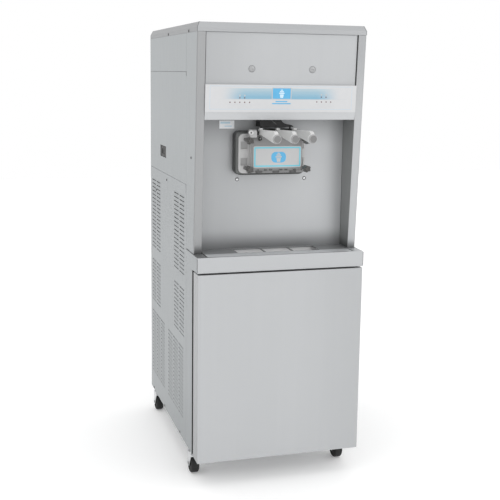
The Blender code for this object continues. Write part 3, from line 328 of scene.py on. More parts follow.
# ---------------------------------------------------------------- shapes
LAY_ACROSS = {
    "X": Matrix(((0, 0, 1, 0), (1, 0, 0, 0), (0, 1, 0, 0), (0, 0, 0, 1))),
    "Y": Matrix(((1, 0, 0, 0), (0, 0, -1, 0), (0, 1, 0, 0), (0, 0, 0, 1))),
    "Z": Matrix.Identity(4),
}


def bevelled(bm, edges, width, segments):
    """Rounds the given edges, as far as the faces beside them leave room."""
    size = {"offset": width, "segments": segments, "profile": 0.5}
    bmesh.ops.bevel(bm, geom=edges, affect="EDGES", clamp_overlap=True, **size)


def soften(bm, width, segments=2, angle=30):
    """Rounds the edges where faces meet at more than an angle."""
    if width > 0:
        limit = math.radians(angle)
        sharp = [e for e in bm.edges if len(e.link_faces) == 2 and e.calc_face_angle(0) > limit]
        bevelled(bm, sharp, width, segments)
    return bm


def round_edges(bm, chosen, width, segments):
    """Rounds the edges whose two ends both pass a test."""
    bevelled(bm, [e for e in bm.edges if all(chosen(v.co) for v in e.verts)], width, segments)


def cad_form(node):
    """The node's solid with its triangles merged back into flat faces."""
    bm = bmesh.new()
    bm.from_mesh(frame["nodes"][node].data)
    bmesh.ops.remove_doubles(bm, verts=bm.verts, dist=1e-5)
    bmesh.ops.dissolve_limit(bm, angle_limit=math.radians(0.5), verts=bm.verts, edges=bm.edges)
    return bm


def box_form(start, end, width=0.0, segments=2):
    a, b = Vector(start), Vector(end)
    bm = bmesh.new()
    place = Matrix.Translation((a + b) / 2) @ Matrix.Diagonal((*[abs(v) for v in b - a], 1.0))
    bmesh.ops.create_cube(bm, size=1.0, matrix=place)
    return soften(bm, width, segments)


def prism_form(axis, outline, start, end, width=0.0, segments=2):
    """An outline in (y, z), (x, z) or (x, y), extruded along an axis."""
    bm = bmesh.new()
    flat = bm.faces.new([bm.verts.new((a, b, 0.0)) for a, b in outline])
    grown = bmesh.ops.extrude_face_region(bm, geom=[flat])["geom"]
    top = [item for item in grown if isinstance(item, bmesh.types.BMVert)]
    bmesh.ops.translate(bm, verts=top, vec=(0, 0, abs(end - start)))
    lift = {"X": (1, 0, 0), "Y": (0, 1, 0), "Z": UP}[axis]
    if axis == "Y":  # the outline's third axis points towards -Y
        base = Matrix.Translation(Vector(lift) * max(start, end))
    else:
        base = Matrix.Translation(Vector(lift) * min(start, end))
    bmesh.ops.transform(bm, matrix=base @ LAY_ACROSS[axis], verts=bm.verts)
    bmesh.ops.recalc_face_normals(bm, faces=bm.faces)
    return soften(bm, width, segments)


def turned_form(profile, place, segments=32, lobes=None):
    """A closed turned solid. The profile is (radius, height) and starts and ends on the axis or is a ring.

    Lobes is (count, depth, lowest height, highest height) of the flutes round a grip.
    """
    bm = bmesh.new()
    rings = []
    for radius, height in profile:
        if radius < 1e-6:
            rings.append([bm.verts.new((0, 0, height))])
            continue
        ring = []
        for i in range(segments):
            angle = 2 * math.pi * i / segments
            reach = radius
            if lobes and lobes[2] <= height <= lobes[3]:
                reach *= 1 - lobes[1] * (0.5 + 0.5 * math.cos(lobes[0] * angle))
            ring.append(bm.verts.new((reach * math.cos(angle), reach * math.sin(angle), height)))
        rings.append(ring)
    closed = len(rings[0]) > 1 and len(rings[-1]) > 1
    pairs = list(zip(rings, rings[1:])) + ([(rings[-1], rings[0])] if closed else [])
    for first, second in pairs:
        for i in range(segments):
            j = (i + 1) % segments
            corners = [ring[k % len(ring)] for ring, k in ((first, i), (first, j), (second, j), (second, i))]
            unique = list(dict.fromkeys(corners))
            if len(unique) > 2:
                bm.faces.new(unique)
    bmesh.ops.recalc_face_normals(bm, faces=bm.faces)
    bmesh.ops.transform(bm, matrix=place, verts=bm.verts)
    return bm


def facing(point, normal):
    """A placement whose +Z points along a normal."""
    return Matrix.Translation(point) @ Vector(normal).to_track_quat("Z", "Y").to_matrix().to_4x4()


def arc(centre, radius, start, end, steps):
    """Points on an arc, angles in degrees."""
    return [
        (centre[0] + radius * math.cos(math.radians(a)), centre[1] + radius * math.sin(math.radians(a)))
        for a in (start + (end - start) * i / steps for i in range(steps + 1))
    ]


def rounded(x0, z0, x1, z1, radius, steps=6):
    """A rectangle with round corners, anticlockwise."""
    corners = ((x1, z0, -90), (x1, z1, 0), (x0, z1, 90), (x0, z0, 180))
    points = []
    for x, z, turn in corners:
        centre = (x - math.copysign(radius, x - (x0 + x1) / 2), z - math.copysign(radius, z - (z0 + z1) / 2))
        points += arc(centre, radius, turn, turn + 90, steps)
    return points


class Shape:
    """Forms gathered into one mesh. Each form takes one of the shape's finishes."""

    def __init__(self, *finishes):
        self.bm = bmesh.new()
        self.finishes = finishes

    def add(self, form, finish=0):
        for face in form.faces:
            face.material_index = finish
        mesh = bpy.data.meshes.new("form")
        form.to_mesh(mesh)
        form.free()
        self.bm.from_mesh(mesh)
        bpy.data.meshes.remove(mesh)
        return self

    def box(self, start, end, width=0.0, finish=0, segments=2):
        return self.add(box_form(start, end, width, segments), finish)

    def prism(self, axis, outline, start, end, width=0.0, finish=0, segments=2):
        return self.add(prism_form(axis, outline, start, end, width, segments), finish)

    def turned(self, profile, place, segments=32, finish=0, lobes=None):
        return self.add(turned_form(profile, place, segments, lobes), finish)

    def rod(self, start, end, radius, finish=0, segments=8):
        """A thin round bar between two points."""
        run = Vector(end) - Vector(start)
        profile = [(0, 0), (radius, 0), (radius, run.length), (0, run.length)]
        return self.turned(profile, facing(start, run), segments, finish)

    def finish_where(self, test, finish):
        for face in self.bm.faces:
            if test(face.normal, face.calc_center_median()):
                face.material_index = finish

    def done(self, name, body, slot, *nodes, smooth=35):
        """The finished piece, riding on a body and standing for the CAD nodes given."""
        mesh = bpy.data.meshes.new(name)
        self.bm.to_mesh(mesh)
        self.bm.free()
        mesh.shade_smooth()
        mesh.set_sharp_from_angle(angle=math.radians(smooth))
        for finish in self.finishes:
            mesh.materials.append(FINISH[finish])
        obj = bpy.data.objects.new(name, mesh)
        bpy.context.scene.collection.objects.link(obj)
        normals = obj.modifiers.new("flat_faces", "WEIGHTED_NORMAL")
        normals.keep_sharp = True
        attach(obj, body)
        if nodes:
            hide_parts(*nodes)
        return obj


def body_of(node):
    for name, members in frame["record"]["behaviour"]["bodies"].items():
        if node in members:
            return name


def slot_of(node):
    for part in frame["record"]["subparts"]:
        if part["node"] == node:
            return part["material_slot"]


def refined(node, finish, width, segments=2, angle=30):
    """The CAD shape with its edges rounded, as a piece that stands for the node."""
    shape = Shape(finish).add(soften(cad_form(node), width, segments, angle))
    return shape.done(f"{node}_piece", body_of(node), slot_of(node), node)


def kept(node, finish):
    """A CAD node that stays, with a better material."""
    obj = frame["nodes"][node]
    if not obj.material_slots:
        obj.data.materials.append(None)
    for place in obj.material_slots:
        place.material = FINISH[finish]


def dome(radius, height):
    """Profile of a domed screw head with a round drive recess, its seat at height 0."""
    recess = radius * 0.22
    rise = [(radius * math.cos(a), height * math.sin(a)) for a in (math.radians(8 * i) for i in range(9))]
    return [(0, -0.0005), (radius, -0.0005)] + rise + [
        (recess, height * 0.97),
        (recess * 0.9, height * 0.55),
        (0, height * 0.50),
    ]


# ---------------------------------------------------------------- casing
SIDE_SCREW = dome(0.0056, 0.0024)
COVER_SCREWS_Y = (-0.246, 0.128)
SIDE_SCREWS = (
    (-0.289, 1.243), (0.1645, 1.110), (0.397, 1.040),
    (0.464, 0.108), (0.2145, 0.108), (-0.10, 0.108),
)
SEAM_TOP = 1.5568  # height of the upper side sheets' pressed seam
ACCESS_HALF_WIDTH = 0.2885
CAPTIVE_SCREW_X = 0.1165
CAPTIVE_SCREW_Z = 1.569


def on_side(side, y, z):
    """A placement on a side of the cabinet, facing out."""
    return facing((side * HALF_WIDTH, y, z), (side, 0, 0))


def make_top_cover():
    """Folded cover with mitred corners; the mitres show as dark lines down the front corners."""
    shape = Shape("steel_cap", "steel_cap_side_painted_shade", "seam_grey", "screw_dark")
    shape.add(soften(cad_form("top_cover"), 0.0012, 2, 12))
    # Faces turned to the sides take the darker cap steel: painted shade.
    shape.finish_where(lambda normal, middle: abs(normal.x) > 0.5, 1)
    a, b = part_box("top_cover")
    break_z = b.z - 0.019  # where the front face turns into the slope
    for side in SIDES.values():
        corner = Vector((side * (HALF_WIDTH - 0.0006), a.y + 0.0006, a.z + 0.0005))
        bend = corner.copy()
        bend.z = break_z
        tip = Vector((side * (HALF_WIDTH - 0.0090), a.y + 0.0090, b.z - 0.0004))
        shape.rod(corner, bend, 0.0012, 2)
        shape.rod(bend, tip, 0.0012, 2)
        for y in COVER_SCREWS_Y:
            shape.turned(SIDE_SCREW, on_side(side, y, a.z + 0.0055), 16, 3)
    shape.done("top_cover_piece", "cabinet", slot_of("top_cover"), "top_cover")


def make_upper_front():
    """The leaning access panel, held by two captive screws."""
    shape = Shape("steel_panel")
    panel = cad_form("upper_front_panel")
    a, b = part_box("upper_front_panel")
    near = 0.0015
    for corner in panel.verts:
        if abs(corner.co.x) > b.x - near:
            corner.co.x = math.copysign(ACCESS_HALF_WIDTH, corner.co.x)
        if corner.co.z > b.z - near:
            corner.co.z = b.z + 0.0012
    shape.add(soften(panel, 0.0010))
    shape.done("upper_front_panel_piece", "cabinet", slot_of("upper_front_panel"), "upper_front_panel")
    fill_y = leaning_y(a.z, "upper_front_panel")
    filler = Shape("steel_across")
    start = (-ACCESS_HALF_WIDTH, fill_y - 0.0004, a.z - 0.0008)
    filler.box(start, (ACCESS_HALF_WIDTH, fill_y + 0.0020, a.z + 0.0010), 0.0002)
    filler.done("access_panel_seal", "cabinet", slot_of("upper_front_panel"))
    screws = Shape("screw_head", "seam_grey")
    screw_y = leaning_y(CAPTIVE_SCREW_Z, "upper_front_panel")
    ring = [(0.0112, -0.0002), (0.0128, -0.0002), (0.0126, 0.0005), (0.0112, 0.0006)]
    for side in SIDES.values():
        place = facing((side * CAPTIVE_SCREW_X, screw_y, CAPTIVE_SCREW_Z), LEAN_OUT)
        screws.turned(dome(0.0118, 0.0045), place, 32)
        screws.turned(ring, place, 32, 1)
    screws.done("captive_screws", "cabinet", slot_of("upper_front_panel"))


def make_posts_and_sides():
    for name, side in SIDES.items():
        make_post(name, side)
        make_upper_side(name, side)
        make_lower_side(name, side)
        screws = Shape("screw_dark")
        for y, z in SIDE_SCREWS:
            screws.turned(SIDE_SCREW, on_side(side, y, z), 16)
        screws.done(f"side_screws_{name}", "cabinet", slot_of("rear_panel"))


def make_post(name, side):
    """Folded post with a wide bend at its outer front corner."""
    node = f"corner_post_{name}"
    # The left post's front takes the darker steel_shade: painted shade.
    front = "steel_post" if side > 0 else "steel_shade"
    shape = Shape(front, "steel_inner_painted_shade", "steel_side_painted_shade", "seam_shadow", "steel_bend_painted_shade")
    post = cad_form(node)
    a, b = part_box(node)
    counter_z = high("counter_shelf").z

    def outer_front(point):
        outer = abs(point.x) > HALF_WIDTH - 0.0002
        return outer and point.z > counter_z - 0.002 and point.y < a.y + 0.06 * (b.z - point.z) + 0.03

    round_edges(post, outer_front, 0.0055, 4)
    shape.add(soften(post, 0.0008))
    # Inner faces take the darker inner steel: painted shade.
    shape.finish_where(lambda normal, middle: normal.x * side < -0.9, 1)
    shape.finish_where(lambda normal, middle: normal.x * side > 0.9, 2)
    # Front faces below the counter go near-black: painted shadow seen through the seam beside the lower front
    # panel.
    shape.finish_where(lambda normal, middle: normal.y < -0.9 and middle.z < 0.83, 3)
    # The faces of the rounded outer bend take the darker bend steel: painted shade.
    shape.finish_where(lambda normal, middle: normal.x * side > 0.4 and normal.y < -0.25, 4)
    shape.done(f"{node}_piece", "cabinet", slot_of(node), node)


def make_upper_side(name, side):
    """The upper side sheet with its pressed seam: a line, a tick at its front end, and above that an edge strip in
    darker steel, painted shade at the front bend.
    """
    node = f"side_panel_upper_{name}"
    shape = Shape("steel_side_painted_shade", "seam_grey", "steel_bend_painted_shade")
    shape.add(soften(cad_form(node), 0.0004, 1))
    a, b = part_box(node)
    inside = side * (HALF_WIDTH - 0.0010)
    flush = side * (HALF_WIDTH + 0.0002)
    proud = side * (HALF_WIDTH + 0.0004)
    front = a.y + 0.001
    shape.box((inside, front, SEAM_TOP - 0.0023), (flush, b.y - 0.004, SEAM_TOP), 0.0001, 1)
    shape.box((inside, front, SEAM_TOP - 0.0168), (proud, a.y + 0.0065, SEAM_TOP), 0.0001, 1)
    shape.box((inside, a.y + 0.0008, SEAM_TOP), (flush, a.y + 0.0022, b.z - 0.001), 0.0001, 2)
    shape.done(f"{node}_piece", "cabinet", slot_of(node), node)


SLOT_PITCH = 0.0167
HOOD = 0.0075  # height of the raised lip over each slot
HOOD_OUT = 0.0013
HOOD_END = 0.007  # length of the hood's slope at each end of its slot
SLOT_OPEN = 0.0044


def louvred_sheet(y_ends, z_ends, tiers, thickness):
    """A sheet in (y, z) with tiers of pressed louvres, as a form in (out, y, z).

    A tier is (height of its top slot, number of rows, [(start, end) of each slot column along y]).
    """
    bm = bmesh.new()
    y0, y1 = y_ends

    def row(z, ys, raised=(), out=0.0):
        return [bm.verts.new((out * (y in raised), y, z)) for y in ys]

    above = row(z_ends[1], (y0, y1))
    for top, rows, columns in tiers:
        ys = [y0] + [y for a, b in columns for y in (a, a + HOOD_END, b - HOOD_END, b)] + [y1]
        raised = {y for a, b in columns for y in (a + HOOD_END, b - HOOD_END)}
        open_spans = {i for i, y in enumerate(ys[:-1]) if any(a <= y < b for a, b in columns)}
        first = None
        for i in range(rows):
            z = top - i * SLOT_PITCH
            lines = []
            for rise, share in ((HOOD, 0.0), (HOOD * 0.45, 0.72), (0.0, 1.0)):
                lines.append(row(z + rise, ys, raised, HOOD_OUT * share))
            sill = row(z - SLOT_OPEN, ys)
            if first is None:
                first = lines[0]
                bm.faces.new(above + lines[0][::-1])
            else:
                for k in range(len(ys) - 1):
                    bm.faces.new((above[k], above[k + 1], lines[0][k + 1], lines[0][k]))
            for upper, lower in zip(lines, lines[1:]):
                for k in range(len(ys) - 1):
                    bm.faces.new((upper[k], upper[k + 1], lower[k + 1], lower[k]))
            for k in range(len(ys) - 1):
                if k not in open_spans:
                    bm.faces.new((lines[2][k], lines[2][k + 1], sill[k + 1], sill[k]))
            above = sill
    bm.faces.new(above + row(z_ends[0], (y0, y1))[::-1])
    bmesh.ops.recalc_face_normals(bm, faces=bm.faces)
    bm.faces.ensure_lookup_table()
    if bm.faces[0].normal.x < 0:
        bmesh.ops.reverse_faces(bm, faces=bm.faces)
    bmesh.ops.solidify(bm, geom=bm.faces[:], thickness=thickness)
    return bm


def slot_columns(front, length, gap, count):
    """Slot ends along y for neighbouring columns, from the front one back."""
    return sorted((front + i * (length + gap), front + i * (length + gap) + length) for i in range(count))


def make_lower_side(name, side):
    """The lower side sheet with its louvres, each with a near-black patch at its rear end as painted shadow, over
    a dim liner.
    """
    node = f"side_panel_lower_{name}"
    a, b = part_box(node)
    pairs = slot_columns(-0.172, 0.078, 0.025, 2) + slot_columns(0.306, 0.077, 0.024, 2)
    trios = slot_columns(-0.160, 0.082, 0.022, 3) + slot_columns(0.215, 0.078, 0.018, 3)
    tiers = ((1.081, 19, pairs), (0.7165, 12, pairs), (0.478, 18, trios))
    sheet = louvred_sheet((a.y, b.y), (a.z, b.z), tiers, 0.001)
    place = Matrix.Translation((side * HALF_WIDTH, 0, 0)) @ Matrix.Diagonal((side, 1, 1, 1))
    bmesh.ops.transform(sheet, matrix=place, verts=sheet.verts)
    bmesh.ops.recalc_face_normals(sheet, faces=sheet.faces)
    shape = Shape("steel_side_painted_shade", "seam_shadow", "seam_grey").add(sheet)
    out = side * HALF_WIDTH
    flush = out + side * 0.0003
    for top, rows, columns in tiers:
        for i in range(rows):
            z = top - i * SLOT_PITCH
            for _, rear in columns:
                # A near-black patch at each slot's rear end: painted shadow under the hood.
                shape.box((out - side * 0.0012, rear - 0.009, z - 0.0050), (flush, rear + 0.003, z), 0, 1)
    shape.box((out - side * 0.0010, a.y + 0.0075, b.z - 0.0315), (flush, a.y + 0.0105, b.z), 0.0001, 2)
    shape.done(f"{node}_piece", "cabinet", slot_of(node), node, smooth=8)
    liner = Shape("liner")
    for start, end in ((-0.185, 0.140), (0.205, 0.520)):
        x = side * (HALF_WIDTH - 0.0060)
        liner.box((x - 0.0008, start, 0.150), (x + 0.0008, end, 1.100), 0.0005)
    liner.done(f"{node}_liner", "cabinet", "insulation")


def make_rear():
    refined("rear_panel", "steel_side_painted_shade", 0.0006, 1)
    outside = high("rear_panel").y
    screws = Shape("steel_bright")
    for x in (-0.300, 0.0, 0.300):
        for z in (0.118, 0.50, 0.90, 1.30, 1.68):
            screws.turned(dome(0.0045, 0.0022), facing((x, outside, z), (0, 1, 0)), 16)
    screws.done("rear_screws", "cabinet", slot_of("rear_panel"))


def make_lower_front():
    shape = Shape("steel_front", "steel_return_painted_shade")
    panel = cad_form("lower_front_panel")
    back = high("lower_front_panel").y
    for corner in panel.verts:
        if corner.co.y > back - 0.0005:
            corner.co.y = back - 0.0045
    shape.add(soften(panel, 0.0020, 3))
    # The side returns take the darker return steel: painted shade.
    shape.finish_where(lambda normal, middle: abs(normal.x) > 0.9, 1)
    shape.done("lower_front_panel_piece", "cabinet", slot_of("lower_front_panel"), "lower_front_panel")
    kept("chassis", "frame_paint")


# ---------------------------------------------------------------- console
def cup_emblem(shape, centre, size, thick, badge, mark):
    """A generic soft serve sign: an oval badge with a cup under three stacked swirls."""
    cx, cy, cz = centre

    def plate(outline, finish, layer):
        points = [(cx + x * size, cz + z * size) for x, z in outline]
        shape.prism("Y", points, cy, cy - thick * layer, 0.0, finish)

    plate(rounded(-0.72, -0.50, 0.72, 0.50, 0.42, 8), badge, 1)
    plate([(-0.22, -0.08), (-0.15, -0.44), (0.15, -0.44), (0.22, -0.08)], mark, 2)
    for half, base, top in ((0.30, -0.03, 0.11), (0.22, 0.15, 0.27), (0.12, 0.31, 0.42)):
        plate(rounded(-half, base, half, top, 0.055), mark, 2)


KEY_PITCH = 0.0184
# Rows on the overlay, each (first x, z, count).
LAMP_ROWS = ((-0.1982, 1.4488, 5), (-0.1617, 1.4647, 2), (0.1348, 1.4512, 4), (0.1521, 1.4686, 2))
KEY_ROWS = ((-0.1982, 1.4355, 5), (0.1348, 1.4367, 4))
SYMBOL_ROWS = ((-0.1617, 1.4735, 2), (0.1521, 1.4775, 2))
EMBLEM_X = -0.003
EMBLEM_Z = 1.4813
LAMP = [(0, 0), (0.0024, 0), (0.0022, 0.0007), (0.0012, 0.0011), (0, 0.0012)]
KEY_RING = [(0.0064, 0.0), (0.0064, 0.0003), (0.0058, 0.0003), (0.0058, 0.0)]
SYMBOL = [(0, 0), (0.0030, 0), (0.0030, 0.0003), (0, 0.0003)]


def make_console():
    refined("control_console", "steel_lip", 0.0016, 3)
    kept("control_overlay", "overlay")
    make_console_emblem()
    make_console_icons()
    refined("power_rocker", "black", 0.0006, 2)
    make_switch_housing()


def make_console_icons():
    """Rows of lamps, key rings and round symbols on the overlay."""
    icons = Shape("label_white", "lamp", "key_ring")
    for rows, profile, segments, finish in (
        (LAMP_ROWS, LAMP, 16, 1),
        (KEY_ROWS, KEY_RING, 24, 2),
        (SYMBOL_ROWS, SYMBOL, 20, 0),
    ):
        for row_x, z, count in rows:
            for i in range(count):
                place = facing((row_x + i * KEY_PITCH, leaning_y(z), z), LEAN_OUT)
                icons.turned(profile, place, segments, finish)
    icons.done("console_icons", "cabinet", slot_of("control_overlay"))


def make_console_emblem():
    """The sign's framed plate and two plain bars under it, laid back to the overlay's lean."""
    mark = Shape("label_white", "emblem_blue", "emblem_pale")
    y = leaning_y(EMBLEM_Z)

    def plate(half, bottom, top, radius, thick, finish):
        outline = rounded(EMBLEM_X - half, bottom, EMBLEM_X + half, top, radius)
        mark.prism("Y", outline, y, y - thick, 0.0, finish)

    plate(0.0380, 1.4606, 1.5025, 0.002, 0.0003, 0)
    plate(0.0345, 1.4620, 1.5000, 0.001, 0.0005, 1)
    cup_emblem(mark, (EMBLEM_X, y - 0.0004, 1.4808), 0.035, 0.0003, 1, 2)
    plate(0.0360, 1.4425, 1.4465, 0.0019, 0.0003, 1)
    plate(0.0230, 1.4500, 1.4540, 0.0019, 0.0003, 1)
    middle = Vector((0, y, EMBLEM_Z))
    lean_turn = Matrix.Rotation(math.atan(LEAN), 4, "X")
    tilt = Matrix.Translation(middle) @ lean_turn @ Matrix.Translation(-middle)
    bmesh.ops.transform(mark.bm, matrix=tilt, verts=mark.bm.verts)
    mark.done("console_emblem", "cabinet", slot_of("control_overlay"))


def make_switch_housing():
    """The moulded housing, a raised diagonal ridge on its face coloured lighter as a painted highlight, and the
    actuator bar that hangs behind the handles' hubs.
    """
    a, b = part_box("switch_housing")
    shape = Shape("black", "charcoal")
    shape.add(soften(cad_form("switch_housing"), 0.0014, 3))
    bar_front, bar_back = -0.292, -0.286
    bar_top = a.z - 0.0070
    shape.box((a.x + 0.002, bar_front, bar_top - 0.0070), (b.x - 0.004, bar_back, bar_top), 0.0010)
    for x in (a.x + 0.006, b.x - 0.014):
        shape.box((x, bar_front, bar_top - 0.001), (x + 0.006, bar_back, a.z + 0.001), 0.0004)
    # A raised diagonal strip in charcoal, lighter than the black housing: a painted highlight.
    highlight_ridge = [(-0.022, b.z - 0.002), (-0.018, b.z - 0.002), (0.004, a.z + 0.010), (-0.001, a.z + 0.009)]
    shape.prism("Y", highlight_ridge, a.y + 0.001, a.y - 0.0008, 0.0003, 1)
    shape.done("switch_housing_piece", "cabinet", slot_of("switch_housing"), "switch_housing")


# ---------------------------------------------------------------- serving space
SPLASH_SCREW_X = 0.135
SPLASH_SCREW_Z = 1.155


def make_serving_space():
    refined("splash_panel", "steel_splash", 0.0003, 1)
    make_splash_fittings()
    make_counter()
    make_tray()
    refined("splash_shield", "steel_shield_painted_reflection", 0.0006, 2)
    refined("side_drip_pan", "black", 0.0008, 2)


def make_splash_fittings():
    """Two ringed screws under the door, and a pale sticker with two plain bars."""
    y = low("splash_panel").y
    bits = Shape("steel_bright", "sticker", "emblem_pale", "screw_dark")
    edge = [(0.0055, -0.0002), (0.0074, -0.0002), (0.0072, 0.0005), (0.0055, 0.0006)]
    for side in SIDES.values():
        place = facing((side * SPLASH_SCREW_X, y, SPLASH_SCREW_Z), (0, -1, 0))
        bits.turned(dome(0.0058, 0.0030), place, 24)
        bits.turned(edge, place, 24, 3)
    bits.prism("Y", rounded(-0.206, 1.347, -0.148, 1.377, 0.001), y + 0.0001, y - 0.0003, 0.0, 1)
    bits.prism("Y", rounded(-0.202, 1.3655, -0.164, 1.3725, 0.001), y, y - 0.0005, 0.0, 2)
    bits.prism("Y", rounded(-0.186, 1.3540, -0.158, 1.3580, 0.001), y, y - 0.0005, 0.0, 2)
    bits.done("splash_panel_fittings", "cabinet", slot_of("splash_panel"))


def make_tray():
    """The drip tray: brushed outside; inside, paler and less metallic steel with fainter brushing, painted light
    on the floor seen through the shield.
    """
    tray = Shape("steel_front", "steel_tray_painted_light")
    tray.add(soften(cad_form("drip_tray"), 0.0006, 2))
    skin = Vector((0.0006, 0.0006, 0))
    a, b = low("drip_tray") + skin, high("drip_tray") - skin

    def inside(normal, middle):
        return abs(middle.x) < b.x and a.y < middle.y < b.y and normal.z > -0.5

    tray.finish_where(inside, 1)
    tray.done("drip_tray_piece", "drip_tray", slot_of("drip_tray"), "drip_tray")


def make_counter():
    """Counter with a rolled front edge, folded corners, a top painted darker towards its left end as painted
    shade, and a near-black strip left of the tray as painted shadow in the gap.
    """
    shape = Shape("steel_across", "steel_shelf", "steel_side_painted_shade", "seam_grey", "seam_shadow")
    shape.add(soften(cad_form("counter_shelf"), 0.0008, 2))
    # Top faces take the shelf steel, darkened towards the left end: painted shade.
    shape.finish_where(lambda normal, middle: normal.z > 0.7, 1)
    shape.finish_where(lambda normal, middle: abs(normal.x) > 0.9, 2)
    a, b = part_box("counter_shelf")
    for x in (a.x + 0.0012, b.x - 0.0012):
        shape.rod((x, a.y + 0.0012, a.z + 0.003), (x, a.y + 0.0012, b.z - 0.004), 0.0013, 3)
    shape.rod((a.x + 0.010, a.y + 0.0009, a.z + 0.0035), (b.x - 0.010, a.y + 0.0009, a.z + 0.0035), 0.0020, 0)
    tray_a, tray_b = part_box("drip_tray")
    # A near-black strip on the top beside the tray's left end: painted shadow in the gap.
    gap_start = (tray_a.x - 0.0070, tray_a.y, b.z - 0.0010)
    shape.box(gap_start, (tray_a.x - 0.0006, tray_b.y, b.z + 0.0002), 0.0, 4)
    shape.done("counter_shelf_piece", "cabinet", slot_of("counter_shelf"), "counter_shelf")


# ---------------------------------------------------------------- freezer door
BLOCK_TOP = 1.326  # top of the draw block's dark face
BLOCK_LEDGE_Y = -0.3230
DOOR_SLOTS_X = (-0.0459, -0.0255, 0.0151, 0.0349, 0.0687)


def make_door():
    """The cast door: light flange whose recessed pads on the left are painted darker as painted shade, and a
    darker draw block with dark boxes under it as painted shade for its slots.
    """
    shape = Shape("door_light", "door_face", "door_pad_painted_shade", "charcoal", "steel_dark", "black", "lug_bright")
    a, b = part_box("freezer_door")
    flange_y = joint_point("handscrew_upper_left_turn").y
    face_y = high("door_label").y
    shape.add(soften(cad_form("freezer_door"), 0.0010, 2))

    def on_block(normal, middle):
        return normal.y < -0.25 and middle.y < flange_y - 0.008 and middle.z < BLOCK_TOP

    def on_left_pads(normal, middle):
        return normal.y < -0.9 and middle.y > flange_y + 0.002 and middle.x < 0

    shape.finish_where(on_block, 1)
    # The recessed pads on the left take a darker grey: painted shade in the recesses.
    shape.finish_where(on_left_pads, 2)
    # Dark boxes flush with the block's face under the label: painted shade standing for its slots.
    for x in DOOR_SLOTS_X:
        shape.box((x - 0.0052, face_y, 1.1945), (x + 0.0052, face_y + 0.012, 1.2000), 0.0012, 3)
    shape.box((-0.0755, face_y + 0.001, 1.1935), (-0.0735, face_y + 0.012, 1.2000), 0.0, 3)
    skirt = ((a.x + 0.036, flange_y - 0.0105, 1.1842), (b.x - 0.007, flange_y + 0.0010, 1.1935))
    shape.box(*skirt, 0.0015, 1)
    make_adjusters(shape)
    make_pin_lug(shape)
    shape.done("freezer_door_piece", "cabinet", slot_of("freezer_door"), "freezer_door")
    refined("door_shroud", "gasket", 0.0022, 3)
    kept("pivot_pin", "steel_dark")
    make_door_label()


def make_door_label():
    """The block's label: a pale plate with a cyan frame and the generic sign."""
    a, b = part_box("door_label")
    x0, z0, x1, z1 = a.x, a.z + 0.0012, b.x - 0.0030, b.z - 0.0010
    label = Shape("label_white", "label_cyan", "emblem_blue")
    label.prism("Y", rounded(x0, z0, x1, z1, 0.006), b.y, a.y, 0.0005, 0)

    def panel(inset, radius, thick, finish):
        outline = rounded(x0 + inset, z0 + inset, x1 - inset, z1 - inset, radius)
        label.prism("Y", outline, a.y + 0.0002, a.y - thick, 0.0, finish)

    panel(0.0030, 0.0045, 0.0002, 1)
    panel(0.0085, 0.0020, 0.0003, 0)
    cup_emblem(label, (0.003, a.y - 0.0002, 1.2445), 0.040, 0.0003, 2, 0)
    label.done("door_label_piece", "cabinet", slot_of("door_label"), "door_label")


def make_adjusters(shape):
    """Under each handle, a fluted adjusting knob with a screw's end, and a stop block beside the hub."""
    knob = [(0, -0.004), (0.0045, -0.004), (0.0045, 0.0030), (0.0078, 0.0036), (0.0078, 0.0086)]
    knob += [(0.0062, 0.0100), (0, 0.0100)]
    tip = [(0, 0.0095), (0.0032, 0.0095), (0.0028, 0.0108), (0, 0.0110)]
    for name in FLAVOURS:
        x = joint_point(f"draw_handle_{name}_pull").x
        place = facing((x - 0.0030, BLOCK_LEDGE_Y, 1.3110), (0, -1, 0.38))
        shape.turned(knob, place, 30, 5, (5, 0.25, 0.003, 0.011))
        shape.turned(tip, place, 16, 1)
        shape.box((x - 0.0165, -0.3380, 1.3290), (x - 0.0098, BLOCK_LEDGE_Y, 1.3420), 0.0010, 5)


def make_pin_lug(shape):
    """The bright ring round the pivot pin's left end, with a black plug in its bore as painted shade for the hole.
    """
    place = facing((-0.1070, -0.3352, 1.3368), (-0.35, -1, 0.1))
    ring = [(0.0030, -0.006), (0.0092, -0.006), (0.0092, 0.0010)]
    ring += [(0.0080, 0.0020), (0.0042, 0.0020), (0.0030, 0.0008)]
    hole_painted_shade = [(0, -0.004), (0.0032, -0.004), (0.0032, 0.0004), (0, 0.0004)]
    shape.turned(ring, place, 32, 6)
    shape.turned(hole_painted_shade, place, 24, 5)


